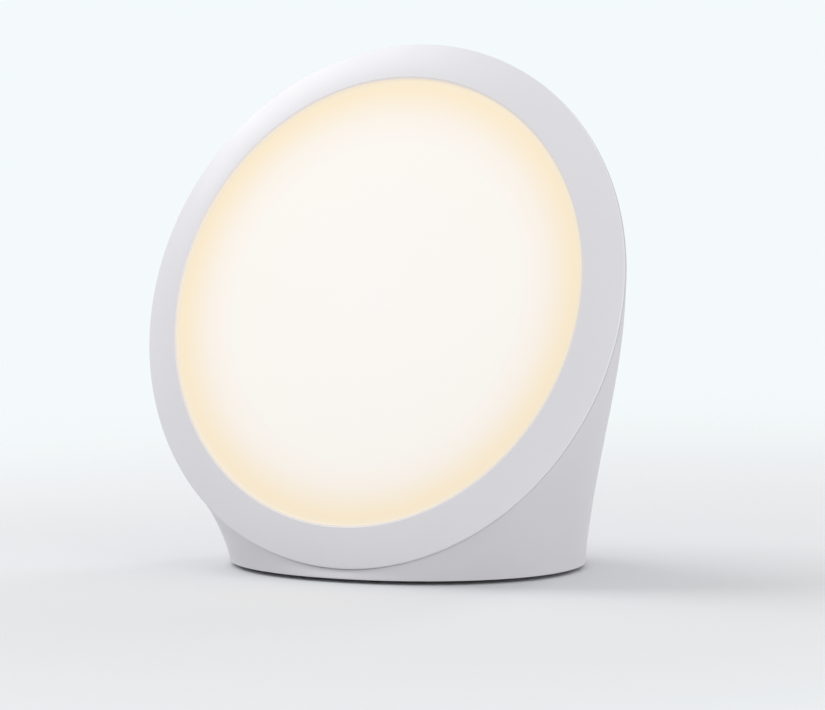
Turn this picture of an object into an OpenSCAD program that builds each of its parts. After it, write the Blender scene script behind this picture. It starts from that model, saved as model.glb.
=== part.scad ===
// Sunrise alarm clock: a round leaning light on a flared oval foot.
// Millimetres, +Z up, the lit face looks along -Y, the table is at Z = 0
// and the origin is the middle of the foot.

/* [Head] */
// Outer diameter of the round head
head_d = 200; // [185:1:215]
// How far the head leans back from upright, in degrees
lean = 20.5; // [18:0.5:23]
// Height of the rim's lowest point above the table
chin_h = 4.7; // [4:0.1:6]
// Distance of the head's centre in front of the foot's centre
head_forward = 12.7; // [11:0.1:14]
// Width of the sloping bezel, from the rim to the lit window
bezel_w = 15; // [13:0.5:18]

/* [Foot] */
// Width of the oval foot
base_w = 140; // [128:1:150]
// Depth of the oval foot
base_d = 100; // [98:1:108]
// Squareness of the foot's oval, where 2 is an ellipse
foot_square = 2.1; // [2:0.05:2.3]
// Height of the rubber feet under the housing
foot_h = 1.5; // [1:0.1:2.5]
// Diameter of a rubber foot
foot_d = 12; // [10:0.5:14]
// Distance of the rubber feet's middles from the foot's edge, left and right
foot_inset_x = 25; // [23:1:30]
// Distance of the rubber feet's middles from the foot's edge, front and back
foot_inset_y = 30.5; // [28:0.5:34]

/* [Housing] */
// Share of the loft that rises straight from the foot
flare = 0.11; // [0.08:0.01:0.16]
// Share of the loft that runs straight into the rim
reach = 0.31; // [0.28:0.01:0.34]
// Fullness of the housing's sides
side_crown = 12; // [8:1:15]
// Fullness of the housing's back
back_crown = 18; // [14:1:21]
// Wall of the housing
wall = 2.5; // [2:0.1:2.8]
// Width of the flat land round the mouth
rim_land = 5.5; // [5.2:0.1:5.8]
// Depth of the straight stub behind the land
rim_stub = 3; // [2.6:0.1:3.6]

/* [Bezel] */
// Height of the bezel's crest above the land
bezel_rise = 6.3; // [6:0.1:8]
// Height of the bezel's straight outer edge
bezel_edge = 1.4; // [1.2:0.1:1.6]
// Fullness of the bezel's sloping face
bezel_bulge = 0.4; // [0:0.1:0.6]
// Wall of the bezel
bezel_wall = 2; // [1.8:0.1:2.1]
// Width of the shadow groove between bezel and housing
seam_w = 1.4; // [1:0.1:1.6]
// Height of the shadow groove
seam_h = 0.5; // [0.3:0.1:0.7]
// Play between the bezel's skirt and the mouth
skirt_gap = 0.2; // [0.1:0.05:0.3]

/* [Light] */
// Thickness of the diffuser
diffuser_t = 2.3; // [1.8:0.1:2.4]
// Height that the diffuser's middle stands above its edge
diffuser_dome = 0.9; // [0.5:0.1:2]
// Wall of the light tray
tray_t = 1.6; // [1.2:0.1:2]
// Depth of the light tray behind the rim plane
tray_depth = 10; // [9:0.5:11]
// Distance of the lamp board's edge inside the window's edge
lamp_inset = 12; // [11:0.5:16]
// Size of one light emitter
led_size = 3; // [2.4:0.1:3.4]
// Distance of the amber ring inside the lamp board's edge
amber_inset = 4; // [3:0.5:5]
// Number of amber emitters
amber_count = 24; // [18:1:30]
// Distance from the amber ring to the outer white ring
white_inset = 12; // [10:0.5:14]
// Number of white rings
white_rings = 3; // [2:1:4]
// Emitters in the first white ring, and how many more each further ring has
white_step = 6; // [4:1:7]

/* [Display] */
// Width of the four-digit display module
display_w = 50.3; // [48:0.1:52]
// Height of the display module
display_h = 19; // [18:0.5:21]
// Thickness of the display module
display_t = 8; // [7:0.1:8.4]
// Height of one digit
digit_h = 14.2; // [12:0.1:14.6]
// How far the display lies below the window's middle
display_drop = 30; // [28:0.5:34]

/* [Back panel] */
// Height of the control panel's middle above the table
panel_z = 35; // [34:0.5:38]
// Width of the control panel
panel_w = 52; // [50:0.5:54]
// Height of the control panel
panel_h = 46; // [45:0.5:48]
// Thickness of the control panel
panel_t = 2.5; // [2:0.1:3]
// Depth of the panel's face under the housing's back
panel_drop = 4.6; // [4.4:0.1:5.4]
// Width of a key's cap
key_w = 15; // [13:0.5:16]
// Height of a key's cap
key_h = 6.5; // [5.5:0.1:7]
// How far a key stands out of the panel
key_proud = 1.2; // [1:0.1:1.6]
// Travel of a key
key_travel = 0.8; // [0.5:0.1:0.9]
// Distance between the two columns of keys
key_col = 25; // [23:0.5:26]
// Distance between the rows of keys
key_row = 10; // [9.5:0.1:10.5]
// Distance of the first row of keys from the panel's upper edge
key_margin = 7.5; // [7:0.1:8]
// Distance of the power inlet from the panel's lower edge
inlet_margin = 8; // [7.5:0.1:9]
// Diameter of the power inlet's bore
inlet_d = 6.3; // [6:0.1:6.5]
// Diameter of the power inlet's centre pin
inlet_pin_d = 2; // [1.6:0.1:2.1]

/* [Speaker] */
// Diameter of the speaker grille
grille_d = 49.6; // [48:0.2:50]
// Depth of the grille's face under the housing's back
grille_drop = 2.8; // [2.7:0.1:3.4]
// Diameter of one sound hole
sound_hole_d = 2.2; // [1.6:0.1:2.6]
// Distance between sound holes
sound_pitch = 4.6; // [4.2:0.1:4.8]

/* [Snooze key] */
// How far up the head the snooze key sits, as a share of the head's radius
snooze_place = 0.52; // [0.5:0.01:0.54]
// Length of the snooze key
snooze_w = 40; // [36:1:42]
// Height of the snooze key
snooze_h = 12; // [10:0.5:13]
// How far the snooze key stands out of the housing
snooze_proud = 0.8; // [0.5:0.1:1.2]
// Travel of the snooze key
snooze_travel = 1; // [0.6:0.1:1.2]

/* [Battery] */
// Diameter of the coin cell
cell_d = 20; // [20:0.1:20.4]
// Thickness of the coin cell
cell_t = 3.2; // [2.5:0.1:3.2]
// Distance of the battery cover behind the middle of the foot
cover_y = -20; // [-22:0.5:-16]
// Diameter of the battery cover
cover_d = 25; // [24.5:0.1:25.5]

/* [Hidden] */

eps = 0.01;
// Running and seating clearances
slide_gap = 0.25;
seat_gap = 0.1;
// Counts of the housing's rings and of points in a ring
ring_points = 96;
rise_rings = 13;
smooth = 120;

head_r = head_d / 2;
head_y = -head_forward;
head_z = chin_h + head_r * cos(lean);
face_normal = [0, -cos(lean), sin(lean)];
mouth_r = head_r - rim_land;
window_r = head_r - bezel_w;
foot_x = base_w / 2 - foot_inset_x;
foot_y = base_d / 2 - foot_inset_y;
speaker_z = head_z;
snooze_z = head_z + snooze_place * head_r;
// A length that reaches out of the housing's skin from anywhere just inside it
beyond = 20;

// A point given in the head's own frame: x right, y up the disc, z out of the face
function head_pt(x, y, z) = [
  x,
  head_y + y * sin(lean) - z * cos(lean),
  head_z + y * cos(lean) + z * sin(lean)
];

module on_head(z = 0) {
  translate(head_pt(0, 0, z)) rotate([90 - lean, 0, 0]) children();
}

// ---- The housing's loft, from the oval foot to the leaning rim ----

function squared(s) = sign(s) * pow(abs(s), 2 / foot_square);

function foot_pt(u, inset) =
  [(base_w / 2 - inset) * squared(cos(u)), (base_d / 2 - inset) * squared(sin(u)), foot_h];

function rim_pt(u, land, stub) = head_pt((head_r - land) * cos(u), (head_r - land) * sin(u), -stub);

function bezier(a, b, c, d, v) =
  pow(1 - v, 3) * a + 3 * pow(1 - v, 2) * v * b + 3 * (1 - v) * v * v * c + pow(v, 3) * d;

// The inner skin's back is a little flatter, which keeps the wall even
inner_flatten = 1.5;

function skin_pt(u, v, inset = 0, land = 0, stub = 0) =
  let (
    low = foot_pt(u, inset),
    high = rim_pt(u, land, stub),
    span = norm(high - low),
    back = (back_crown - inner_flatten * inset) * pow(max(0, sin(u)), 2),
    crown = side_crown * pow(cos(u), 2) + back
  )
  bezier(low, low + [0, 0, flare * span], high + reach * (low - high) - crown * face_normal, high, v);

function ring(v, inset, land, stub) =
  [for (i = [0 : ring_points - 1]) skin_pt(360 * i / ring_points, v, inset, land, stub)];

function band(low, high) = [
  for (i = [0 : ring_points - 1])
    let (j = (i + 1) % ring_points)
    each [
      [low * ring_points + i, high * ring_points + i, high * ring_points + j],
      [low * ring_points + i, high * ring_points + j, low * ring_points + j]
    ]
];

// The whole form, filled
module outer_form() {
  points = [for (k = [0 : rise_rings]) each ring(k / rise_rings, 0, 0, 0)];
  top = rise_rings * ring_points;
  faces = concat(
    [for (k = [0 : rise_rings - 1]) each band(k, k + 1)],
    [[for (i = [0 : ring_points - 1]) i], [for (i = [ring_points - 1 : -1 : 0]) top + i]]
  );
  polyhedron(points, faces);
}

// The moulded wall: outer skin, land, stub and inner skin as one closed tube
module wall_form() {
  outer = [for (k = [0 : rise_rings]) each ring(k / rise_rings, 0, 0, 0)];
  mouth = ring(1, 0, rim_land, 0);
  inner = [for (k = [rise_rings : -1 : 0]) each ring(k / rise_rings, wall, rim_land, rim_stub)];
  rings = 2 * rise_rings + 3;
  faces = [for (k = [0 : rings - 1]) each band(k, (k + 1) % rings)];
  polyhedron(concat(outer, mouth, inner), faces);
}

// ---- A frame on the housing's back: x right seen from behind, y up, z outwards ----

function back_v(z, low = 0, high = 1, steps = 24) =
  let (mid = (low + high) / 2)
  steps == 0 ? mid
  : skin_pt(90, mid).z < z ? back_v(z, mid, high, steps - 1)
  : back_v(z, low, mid, steps - 1);

// Slope of the back at a height: the outward normal's angle above the horizontal
function back_tilt(z) =
  let (v = back_v(z), step = 0.01, low = skin_pt(90, v - step), high = skin_pt(90, v + step))
  atan2(low.y - high.y, high.z - low.z);

module on_back(z, depth = 0) {
  translate(skin_pt(90, back_v(z))) rotate([90 - back_tilt(z), 0, 180]) translate([0, 0, -depth]) children();
}

// ---- Small shared shapes ----

module disc(r, low, high) {
  translate([0, 0, low]) cylinder(r = r, h = high - low, $fn = 64);
}

module block(size, low, high) {
  translate([-size.x / 2, -size.y / 2, low]) cube([size.x, size.y, high - low]);
}

module stadium(w, h) {
  square([w - h, h], center = true);
  for (side = [-1, 1]) translate([side * (w - h) / 2, 0]) circle(d = h, $fn = 48);
}

module rounded(w, h, r) {
  square([w - 2 * r, h], center = true);
  square([w, h - 2 * r], center = true);
  for (x = [-1, 1], y = [-1, 1]) translate([x * (w / 2 - r), y * (h / 2 - r)]) circle(r = r, $fn = 48);
}

module slab(low, high) {
  translate([0, 0, low]) linear_extrude(high - low) children();
}

module at_corners(x, y) {
  for (i = [-1, 1], j = [-1, 1]) translate([i * x, j * y, 0]) children();
}

// A slice of a circle, for lugs and notches
module slice(r, half) {
  polygon([[0, 0], r * [cos(half), -sin(half)], r * [cos(half), sin(half)]]);
}

// A pan-head screw: the head stands on z = 0 and the shank goes down
screw_head_r = 2.6;
screw_head_h = 1.4;
screw_head_room = 0.3;
cross_l = 3;
cross_w = 0.7;
cross_depth = 0.6;
shank_r = 1.4;
shank_bore_r = 1.45;
shank_hole_r = 1.6;
// A bore goes this much deeper than its screw
bore_spare = 1;
tray_screw_l = 9;
panel_screw_l = 5;
board_screw_l = 6;
snooze_screw_l = 5.5;
base_screw_l = 8;

module screw(length) {
  difference() {
    union() {
      disc(screw_head_r, 0, screw_head_h);
      disc(shank_r, -length, screw_head_h / 2);
    }
    for (turn = [0, 90]) rotate(turn)
      block([cross_l, cross_w], screw_head_h - cross_depth, screw_head_h + 1);
  }
}

// ---- Levels behind the face, in the head's frame ----

lip_h = 0.6;
diffuser_seat = bezel_rise - lip_h;
flange_w = 2;
flange_r = window_r + flange_w;
flange_t = 2.5;
tray_flange_t = 1.5;
tray_seat = diffuser_seat - flange_t;
tray_flange_low = tray_seat - tray_flange_t;
tray_floor = -tray_depth;
tray_back = tray_floor - tray_t;
led_board_r = window_r - lamp_inset;
tray_margin = 4;
tray_floor_r = led_board_r + tray_margin;
led_board_t = 1.6;
led_face = tray_floor + led_board_t;
led_h = 1;
amber_ring = led_board_r - amber_inset;

// Screw posts behind the tray, on a circle, in pairs left and right
post_inset = 10;
post_ring = led_board_r - post_inset;
post_angles = [20, -20, 160, 200];
post_r = 3.5;
post_bore = tray_screw_l - tray_t + bore_spare;

// ---- Levels behind the back panel, in its frame ----

panel_face = -panel_drop;
panel_back = panel_face - panel_t;
panel_corner = 6;
pocket_wall = 2;
ledge_w = 1.5;
ledge_t = 1.5;
ledge_back = panel_back - ledge_t;
touch_gap = 0.05;
key_flange_w = 0.8;
key_flange_t = 0.95;
key_flange_high = panel_back - touch_gap;
key_flange_low = key_flange_high - key_flange_t;
switch_size = 6;
switch_h = 3.5;
switch_room = 2.2;
plunger_r = 1.7;
plunger_bore_r = 1.8;
// How far a plunger stands in its switch at rest
plunger_dip = 0.4;
switch_top = key_flange_low - key_travel - switch_room;
board_face = switch_top - switch_h;
board_t = 1.6;
board_back = board_face - board_t;
plunger_low = switch_top - plunger_dip;
boss_r = 3.5;
board_side = 13;
board_margin = 3;
board_w = panel_w + 2 * board_side;
board_h = panel_h + 2 * board_margin;
post_room = 5;
board_post_x = panel_w / 2 + pocket_wall + post_room;
board_post_y = board_h / 2 - post_room;
key_top_row = panel_h / 2 - key_margin;
inlet_y = inlet_margin - panel_h / 2;
panel_screw_inset = 5.5;
panel_screw_x = panel_w / 2 - panel_screw_inset;
panel_screw_y = inlet_y;
panel_bore = panel_screw_l - (panel_t - screw_head_h) + bore_spare;
panel_boss_h = panel_bore + 0.6;

// ---- Levels behind the snooze key, in its frame ----

snooze_rim = 1.2;
snooze_flange_t = 1;
snooze_room = 1;
// How far the housing's back falls away over half the key's length
snooze_fall = 2.2;
snooze_flange_high = -wall - snooze_fall;
snooze_flange_low = snooze_flange_high - snooze_flange_t;
snooze_switch_top = snooze_flange_low - snooze_travel - snooze_room;
snooze_plunger_low = snooze_switch_top - plunger_dip;
snooze_board_face = snooze_switch_top - switch_h;
snooze_post_r = 2.6;
snooze_post_gap = 0.8;
snooze_post_x = snooze_w / 2 + snooze_rim + snooze_post_r + snooze_post_gap;

// ---- Levels behind the speaker grille, in its frame ----

grille_r = grille_d / 2;
grille_t = 1.6;
grille_back = -grille_drop - grille_t;
grille_seat = 1.5;
collar_wall = 2.4;
collar_h = 4.6;
collar_r = grille_r + seat_gap + collar_wall;
collar_back = grille_back - collar_h;
sound_bore_r = grille_r - grille_seat;

// ---- Levels in the foot ----

plate_gap = 1.6;
plate_t = 2;
plate_low = foot_h;
plate_high = plate_low + plate_t;
foot_r = foot_d / 2;
foot_round = 0.6;
foot_recess = 0.8;
cup_wall = 1.6;
cup_h = 4;
cup_r = foot_r + cup_wall;
cup_high = plate_low + cup_h;
base_screw_seat = cup_high - cup_wall;
base_bore = base_screw_l - cup_wall + bore_spare;
boss_high = cup_high + base_bore + 3;
web_t = 2.4;
cover_r = cover_d / 2;
cover_sink = 0.2;
cover_low = plate_low + cover_sink;
cover_high = plate_high + 0.1;
lug_w = 1.6;
lug_t = 1.2;
lug_gap = 0.3;
lug_play = 0.2;
lug_r = cover_r + lug_w;
lug_low = cover_high + lug_gap;
lug_high = lug_low + lug_t;
lug_half = 13;
lug_half_play = 4;
cover_turn = 45;
coin_slot_l = 15;
coin_slot_w = 1.8;
coin_slot_depth = 0.9;
cell_gap = 0.1;
cell_step = 0.3;
cell_seal = 1.2;
cell_low = lug_high + cell_gap;
cell_high = cell_low + cell_t;
contact_h = 0.7;
contact_r = 3;
contact_w = 5;
contact_l = 17;
contact_t = 0.3;
cell_roof = cell_high + contact_h;
cell_cup_wall = 1.9;
cell_cup_roof = 1.3;
cell_cup_r = lug_r + cell_cup_wall;

// ---- Housing ----

module at_panel_screws() {
  for (side = [-1, 1]) translate([side * panel_screw_x, panel_screw_y, 0]) children();
}

// The bosses for the panel's screws, each with a web to the pocket's wall
module panel_bosses(low) {
  web_w = panel_screw_inset + seat_gap;
  at_panel_screws() disc(boss_r, low, panel_back);
  for (side = [-1, 1]) translate([side * (panel_screw_x + web_w / 2), panel_screw_y, 0])
    block([web_w, 2 * boss_r], low, panel_back);
}

module panel_pocket_frame() {
  slab(ledge_back, beyond) rounded(
    panel_w + 2 * (seat_gap + pocket_wall),
    panel_h + 2 * (seat_gap + pocket_wall),
    panel_corner + pocket_wall
  );
  panel_bosses(panel_back - panel_boss_h);
  at_corners(board_post_x, board_post_y) disc(boss_r, board_face, beyond);
}

module panel_pocket_cut() {
  slab(panel_back, beyond) rounded(panel_w + 2 * seat_gap, panel_h + 2 * seat_gap, panel_corner);
  difference() {
    slab(ledge_back - 1, panel_back + 1)
      rounded(panel_w - 2 * ledge_w, panel_h - 2 * ledge_w, panel_corner - ledge_w);
    panel_bosses(ledge_back - 2);
  }
  at_panel_screws() disc(shank_bore_r, panel_back - panel_bore, panel_back + 1);
  at_corners(board_post_x, board_post_y)
    disc(shank_bore_r, board_face - 1, board_face + board_screw_l - board_t + bore_spare);
}

// The bosses that hold the base plate, each with a web to the housing's side
module foot_bosses() {
  at_corners(foot_x, foot_y) disc(boss_r, cup_high, boss_high);
  for (x = [-1, 1], y = [-1, 1]) translate([x * (foot_x + foot_inset_x / 2), y * foot_y, 0])
    block([foot_inset_x, web_t], cup_high, boss_high);
}

module tray_posts(r, low, high) {
  for (a = post_angles) rotate(a) translate([post_ring, 0, 0]) disc(r, low, high);
}

module snooze_posts(r, low, high) {
  for (side = [-1, 1]) translate([side * snooze_post_x, 0, 0]) disc(r, low, high);
}

module rear_shell() color([0.85, 0.845, 0.865]) {
  difference() {
    union() {
      wall_form();
      intersection() {
        outer_form();
        union() {
          on_back(panel_z) panel_pocket_frame();
          on_back(speaker_z) disc(collar_r, collar_back, beyond);
          on_back(snooze_z) snooze_posts(snooze_post_r, snooze_board_face, beyond);
          on_head() tray_posts(post_r, -head_r, tray_back);
          foot_bosses();
        }
      }
    }
    on_back(panel_z) panel_pocket_cut();
    on_back(speaker_z) {
      disc(grille_r + seat_gap, grille_back, beyond);
      disc(sound_bore_r, collar_back - 1, 0);
    }
    on_back(snooze_z) {
      slab(snooze_board_face, beyond) stadium(snooze_w + 2 * slide_gap, snooze_h + 2 * slide_gap);
      snooze_posts(
        shank_bore_r, snooze_board_face - 1, snooze_board_face + snooze_screw_l - board_t + bore_spare
      );
    }
    on_head() tray_posts(shank_bore_r, tray_back - post_bore, tray_back + 1);
    at_corners(foot_x, foot_y) disc(shank_bore_r, cup_high - 1, cup_high + base_bore);
  }
}

// ---- Front ----

// The bezel's section: skirt in the mouth, seat on the land, groove, edge, full sloping face, lip
edge_round = 0.9;
edge_break = 0.3;
lip_round = 0.45;
crest_r = window_r + 0.9;
skirt_r = mouth_r - skirt_gap;
skirt_low = -2.5;
spigot_gap = 0.3;
spigot_r = flange_r + spigot_gap;
// The bead that snaps behind the tray
bead_w = spigot_gap + 0.4;
bead_h = 1;
bead_high = tray_flange_low - seat_gap;

edge_centre = [head_r - edge_round, bezel_edge];
crest_centre = [crest_r, bezel_rise - lip_round];
face_slope = atan2(crest_centre.y - edge_centre.y, edge_centre.x - crest_centre.x);
face_steps = 6;

function arc(centre, r, from, to, steps) =
  [for (i = [0 : steps]) let (a = from + (to - from) * i / steps) centre + r * [cos(a), sin(a)]];

// A point of the sloping face, from its outer end (t = 0) to the crest (t = 1)
function face_pt(t) =
  let (out = [sin(face_slope), cos(face_slope)])
  (1 - t) * (edge_centre + edge_round * out) + t * (crest_centre + lip_round * out)
  + 4 * bezel_bulge * t * (1 - t) * out;

// The underside of the face at a radius, one wall below it
function under_face(r) =
  face_pt((edge_centre.x - r) / (edge_centre.x - crest_centre.x)).y - bezel_wall;

module bezel_section() {
  inner_r = spigot_r + bezel_wall;
  outer_r = skirt_r - bezel_wall;
  polygon(concat(
    [
      [spigot_r, skirt_low],
      [inner_r, skirt_low],
      [inner_r, under_face(inner_r)],
      [outer_r, under_face(outer_r)],
      [outer_r, skirt_low],
      [skirt_r, skirt_low],
      [skirt_r, 0],
      [head_r - seam_w, 0],
      [head_r - seam_w, seam_h],
      [head_r - edge_break, seam_h],
      [head_r, seam_h + edge_break]
    ],
    arc(edge_centre, edge_round, 0, 60 - face_slope, 3),
    [for (i = [0 : face_steps]) face_pt(i / face_steps)],
    arc(crest_centre, lip_round, 110 - face_slope, 140, 3),
    [
      [window_r, bezel_rise - lip_round],
      [window_r, diffuser_seat],
      [spigot_r, diffuser_seat],
      [spigot_r, bead_high],
      [spigot_r - bead_w, bead_high - bead_h / 10],
      [spigot_r - bead_w, bead_high - bead_h / 2],
      [spigot_r, bead_high - bead_h]
    ]
  ));
}

module front_bezel() color([0.87, 0.865, 0.89]) on_head() rotate_extrude($fn = 180) bezel_section();

module diffuser() color([1, 0.95, 0.86]) {
  steps = 10;
  edge = diffuser_seat - 2 * seat_gap;
  inner_r = window_r - spigot_gap;
  front = [for (i = [0 : steps]) let (r = inner_r * (1 - i / steps))
    [r, edge + diffuser_dome * (1 - pow(r / inner_r, 2))]];
  rear = [for (i = [0 : steps]) let (r = inner_r * i / steps)
    [r, edge - diffuser_t + diffuser_dome * (1 - pow(r / inner_r, 2))]];
  on_head() rotate_extrude($fn = 180) polygon(concat(
    [[flange_r, tray_seat], [flange_r, diffuser_seat], [inner_r, diffuser_seat]],
    front,
    rear,
    [[inner_r, tray_seat]]
  ));
}

module light_tray() color([0.96, 0.96, 0.95]) on_head() {
  difference() {
    rotate_extrude($fn = 180) polygon([
      [0, tray_back],
      [tray_floor_r + tray_t, tray_back],
      [window_r, tray_flange_low],
      [flange_r - seat_gap, tray_flange_low],
      [flange_r - seat_gap, tray_seat],
      [window_r - tray_t, tray_seat],
      [tray_floor_r, tray_floor],
      [0, tray_floor]
    ]);
    tray_posts(shank_hole_r, tray_back - 1, tray_floor + 1);
  }
}

module tray_screws() color([0.6, 0.6, 0.62]) on_head() {
  for (a = post_angles) rotate(a) translate([post_ring, 0, tray_floor]) screw(tray_screw_l);
}

// The display looks out through a window in the lamp board
display_room = 3;
display_window = [display_w + 2 * display_room, display_h + 2 * display_room];

module led_board() color([0.93, 0.94, 0.92]) on_head() {
  difference() {
    disc(led_board_r, tray_floor, led_face);
    translate([0, -display_drop, 0]) block(display_window, tray_floor - 1, led_face + 1);
    tray_posts(screw_head_r + 3 * screw_head_room, tray_floor - 1, led_face + 1);
  }
}

function clear_of_display(x, y) =
  abs(x) > display_window.x / 2 + led_size || abs(y + display_drop) > display_window.y / 2 + led_size;

module emitter_ring(r, count) {
  for (i = [0 : count - 1]) {
    a = 360 * (i + 0.5) / count;
    if (clear_of_display(r * cos(a), r * sin(a)))
      rotate(a) translate([r, 0, 0]) block([led_size, led_size], led_face, led_face + led_h);
  }
}

module white_leds() color([1, 0.98, 0.8]) on_head() {
  for (k = [1 : white_rings]) emitter_ring((amber_ring - white_inset) * k / white_rings, white_step * k);
}

module amber_leds() color([1, 0.7, 0.3]) on_head() emitter_ring(amber_ring, amber_count);

// ---- Display ----

spacer_h = 3.2;
display_board_low = tray_floor + spacer_h;
display_board_t = 1.2;
display_board_high = display_board_low + display_board_t;
display_face = display_board_high + display_t;
digit_proud = 0.2;

module on_display() {
  on_head() translate([0, -display_drop, 0]) children();
}

display_margin = 1.5;
spacer_r = 2;

module display_board() color([0.16, 0.38, 0.25]) on_display() {
  size = [display_w + 2 * display_margin, display_h + 2 * display_margin];
  block(size, display_board_low, display_board_high);
}

module display_spacers() color([0.85, 0.85, 0.82]) on_display() {
  at_corners(display_w / 2 + display_margin - spacer_r, display_h / 2 + display_margin - spacer_r)
    disc(spacer_r, tray_floor, display_board_low);
}

module display_module() color([0.2, 0.2, 0.21]) on_display() {
  block([display_w, display_h], display_board_high, display_face);
}

// One bar of a digit, with pointed ends
module bar(length, width) {
  polygon([
    [-length / 2, 0],
    [-length / 2 + width / 2, width / 2],
    [length / 2 - width / 2, width / 2],
    [length / 2, 0],
    [length / 2 - width / 2, -width / 2],
    [-length / 2 + width / 2, -width / 2]
  ]);
}

module seven_bars(h) {
  width = h / 9;
  half = h / 2 - width / 2;
  slot = h / 48;
  for (level = [-1, 0, 1]) translate([0, level * half]) bar(half - slot, width);
  for (x = [-1, 1], y = [-1, 1]) translate([x * half / 2, y * half / 2]) rotate(90) bar(half - slot, width);
}

module display_digits() color([1, 0.85, 0.6]) on_display() {
  slab(display_face, display_face + digit_proud) {
    for (x = [-1.33, -0.5, 0.5, 1.33]) translate([x * digit_h, 0]) seven_bars(digit_h);
    for (y = [-1, 1]) translate([0, y * digit_h / 5]) circle(d = digit_h / 9, $fn = 24);
  }
}

// ---- Back panel, keys and main board ----

function key_place(column, row) = [(column - 0.5) * key_col, key_top_row - row * key_row, 0];

module at_keys() {
  for (column = [0, 1], row = [0, 1, 2]) translate(key_place(column, row)) children();
}

inlet_wall = 1.4;
inlet_nose_r = inlet_d / 2 + inlet_wall;

module rear_panel() color([0.8, 0.795, 0.815]) on_back(panel_z) {
  difference() {
    slab(panel_back, panel_face) rounded(panel_w, panel_h, panel_corner - seat_gap);
    at_keys() slab(panel_back - 1, panel_face + 1) stadium(key_w + 2 * slide_gap, key_h + 2 * slide_gap);
    translate([0, inlet_y, 0]) disc(inlet_nose_r + 2 * seat_gap, panel_back - 1, panel_face + 1);
    at_panel_screws() {
      disc(shank_hole_r, panel_back - 1, panel_face + 1);
      disc(screw_head_r + screw_head_room, panel_face - screw_head_h, panel_face + 1);
    }
  }
}

module panel_screws() color([0.6, 0.6, 0.62]) on_back(panel_z) {
  at_panel_screws() translate([0, 0, panel_face - screw_head_h]) screw(panel_screw_l);
}

// A key: cap, flange behind the panel and a plunger into its switch
module key(column, row) {
  on_back(panel_z) translate(key_place(column, row)) {
    slab(key_flange_low, panel_face + key_proud) stadium(key_w, key_h);
    slab(key_flange_low, key_flange_high) stadium(key_w + 2 * key_flange_w, key_h + 2 * key_flange_w);
    disc(plunger_r, plunger_low, key_flange_low + eps);
  }
}

key_colour = [0.9, 0.9, 0.91];
module alarm_key() color(key_colour) key(0, 0);
module clock_key() color(key_colour) key(1, 0);
module light_key() color(key_colour) key(0, 1);
module sound_key() color(key_colour) key(1, 1);
module minus_key() color(key_colour) key(0, 2);
module plus_key() color(key_colour) key(1, 2);

// The body of a push switch, open at the top for the plunger
module switch_body(low, high, stroke) {
  difference() {
    block([switch_size, switch_size], low, high);
    disc(plunger_bore_r, high - 2 * plunger_dip - stroke, high + 1);
  }
}

module key_switches() color([0.15, 0.15, 0.16]) on_back(panel_z) {
  at_keys() switch_body(board_face, switch_top, key_travel);
}

module main_board() color([0.12, 0.36, 0.24]) on_back(panel_z) {
  difference() {
    block([board_w, board_h], board_back, board_face);
    at_corners(board_post_x, board_post_y) disc(shank_hole_r, board_back - 1, board_face + 1);
  }
}

module board_screws() color([0.6, 0.6, 0.62]) on_back(panel_z) {
  at_corners(board_post_x, board_post_y)
    translate([0, 0, board_back]) rotate([180, 0, 0]) screw(board_screw_l);
}

// What stands on the inner side of the main board, placed by shares of the board
module on_board(x, y) {
  on_back(panel_z) translate([x * board_w / 2, y * board_h / 2, board_back]) children();
}

chip_w = 12;
chip_t = 1.6;
capacitor_r = 4;
capacitor_h = 9;
// The smaller chips and capacitors, as a share of the largest
small_chip = 0.5;
small_capacitor = 0.8;

module board_chips() color([0.1, 0.1, 0.11]) {
  on_board(-0.2, 0.15) block([chip_w, chip_w], -chip_t, 0);
  on_board(0.4, 0.3) block([small_chip * chip_w, small_chip * chip_w], -chip_t, 0);
  on_board(0.4, -0.2) block([small_chip * chip_w, chip_w], -chip_t, 0);
  on_board(-0.25, -0.55) block([small_chip * chip_w, small_chip * chip_w / 2], -chip_t, 0);
}

module capacitors() color([0.2, 0.22, 0.35]) {
  on_board(-0.66, -0.42) disc(capacitor_r, -capacitor_h, 0);
  on_board(-0.66, 0.08) disc(small_capacitor * capacitor_r, -small_capacitor * capacitor_h, 0);
  on_board(0.66, -0.46) disc(small_capacitor * capacitor_r, -small_capacitor * capacitor_h, 0);
}

inlet_base = 0.8;
inlet_floor = board_face + inlet_base;
inlet_pin_sink = 1;

module dc_jack() color([0.1, 0.1, 0.1]) on_back(panel_z) translate([0, inlet_y, 0]) {
  side = 2 * inlet_nose_r;
  difference() {
    union() {
      block([side, side + inlet_wall], board_face, panel_back - seat_gap);
      disc(inlet_nose_r, panel_back - ledge_t, panel_face);
    }
    disc(inlet_d / 2, inlet_floor, panel_face + 1);
  }
}

module jack_pin() color([0.8, 0.65, 0.35]) on_back(panel_z) translate([0, inlet_y, 0]) {
  disc(inlet_pin_d / 2, inlet_floor, panel_face - inlet_pin_sink);
}

// ---- Speaker ----

module speaker_grille() color([0.8, 0.795, 0.815]) on_back(speaker_z) {
  reach_holes = 4;
  difference() {
    disc(grille_r, grille_back, -grille_drop);
    for (i = [-reach_holes : reach_holes], j = [-reach_holes : reach_holes])
      if (abs(i + j) <= reach_holes)
        translate(sound_pitch * [i + j / 2, j * sin(60), 0]) disc(sound_hole_d / 2, grille_back - 1, 0);
  }
}

frame_t = 1.2;
frame_depth = 13;
frame_low = collar_back - frame_depth;
frame_neck_r = 12;
magnet_r = 11;
magnet_h = 7;
cone_t = 0.6;
dome_r = 8;
dome_rise = 2;
// Width of the cone's rolled surround
surround_w = 3;
// Height of the cone's throat above the frame's floor
throat_h = 4.5;

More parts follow.
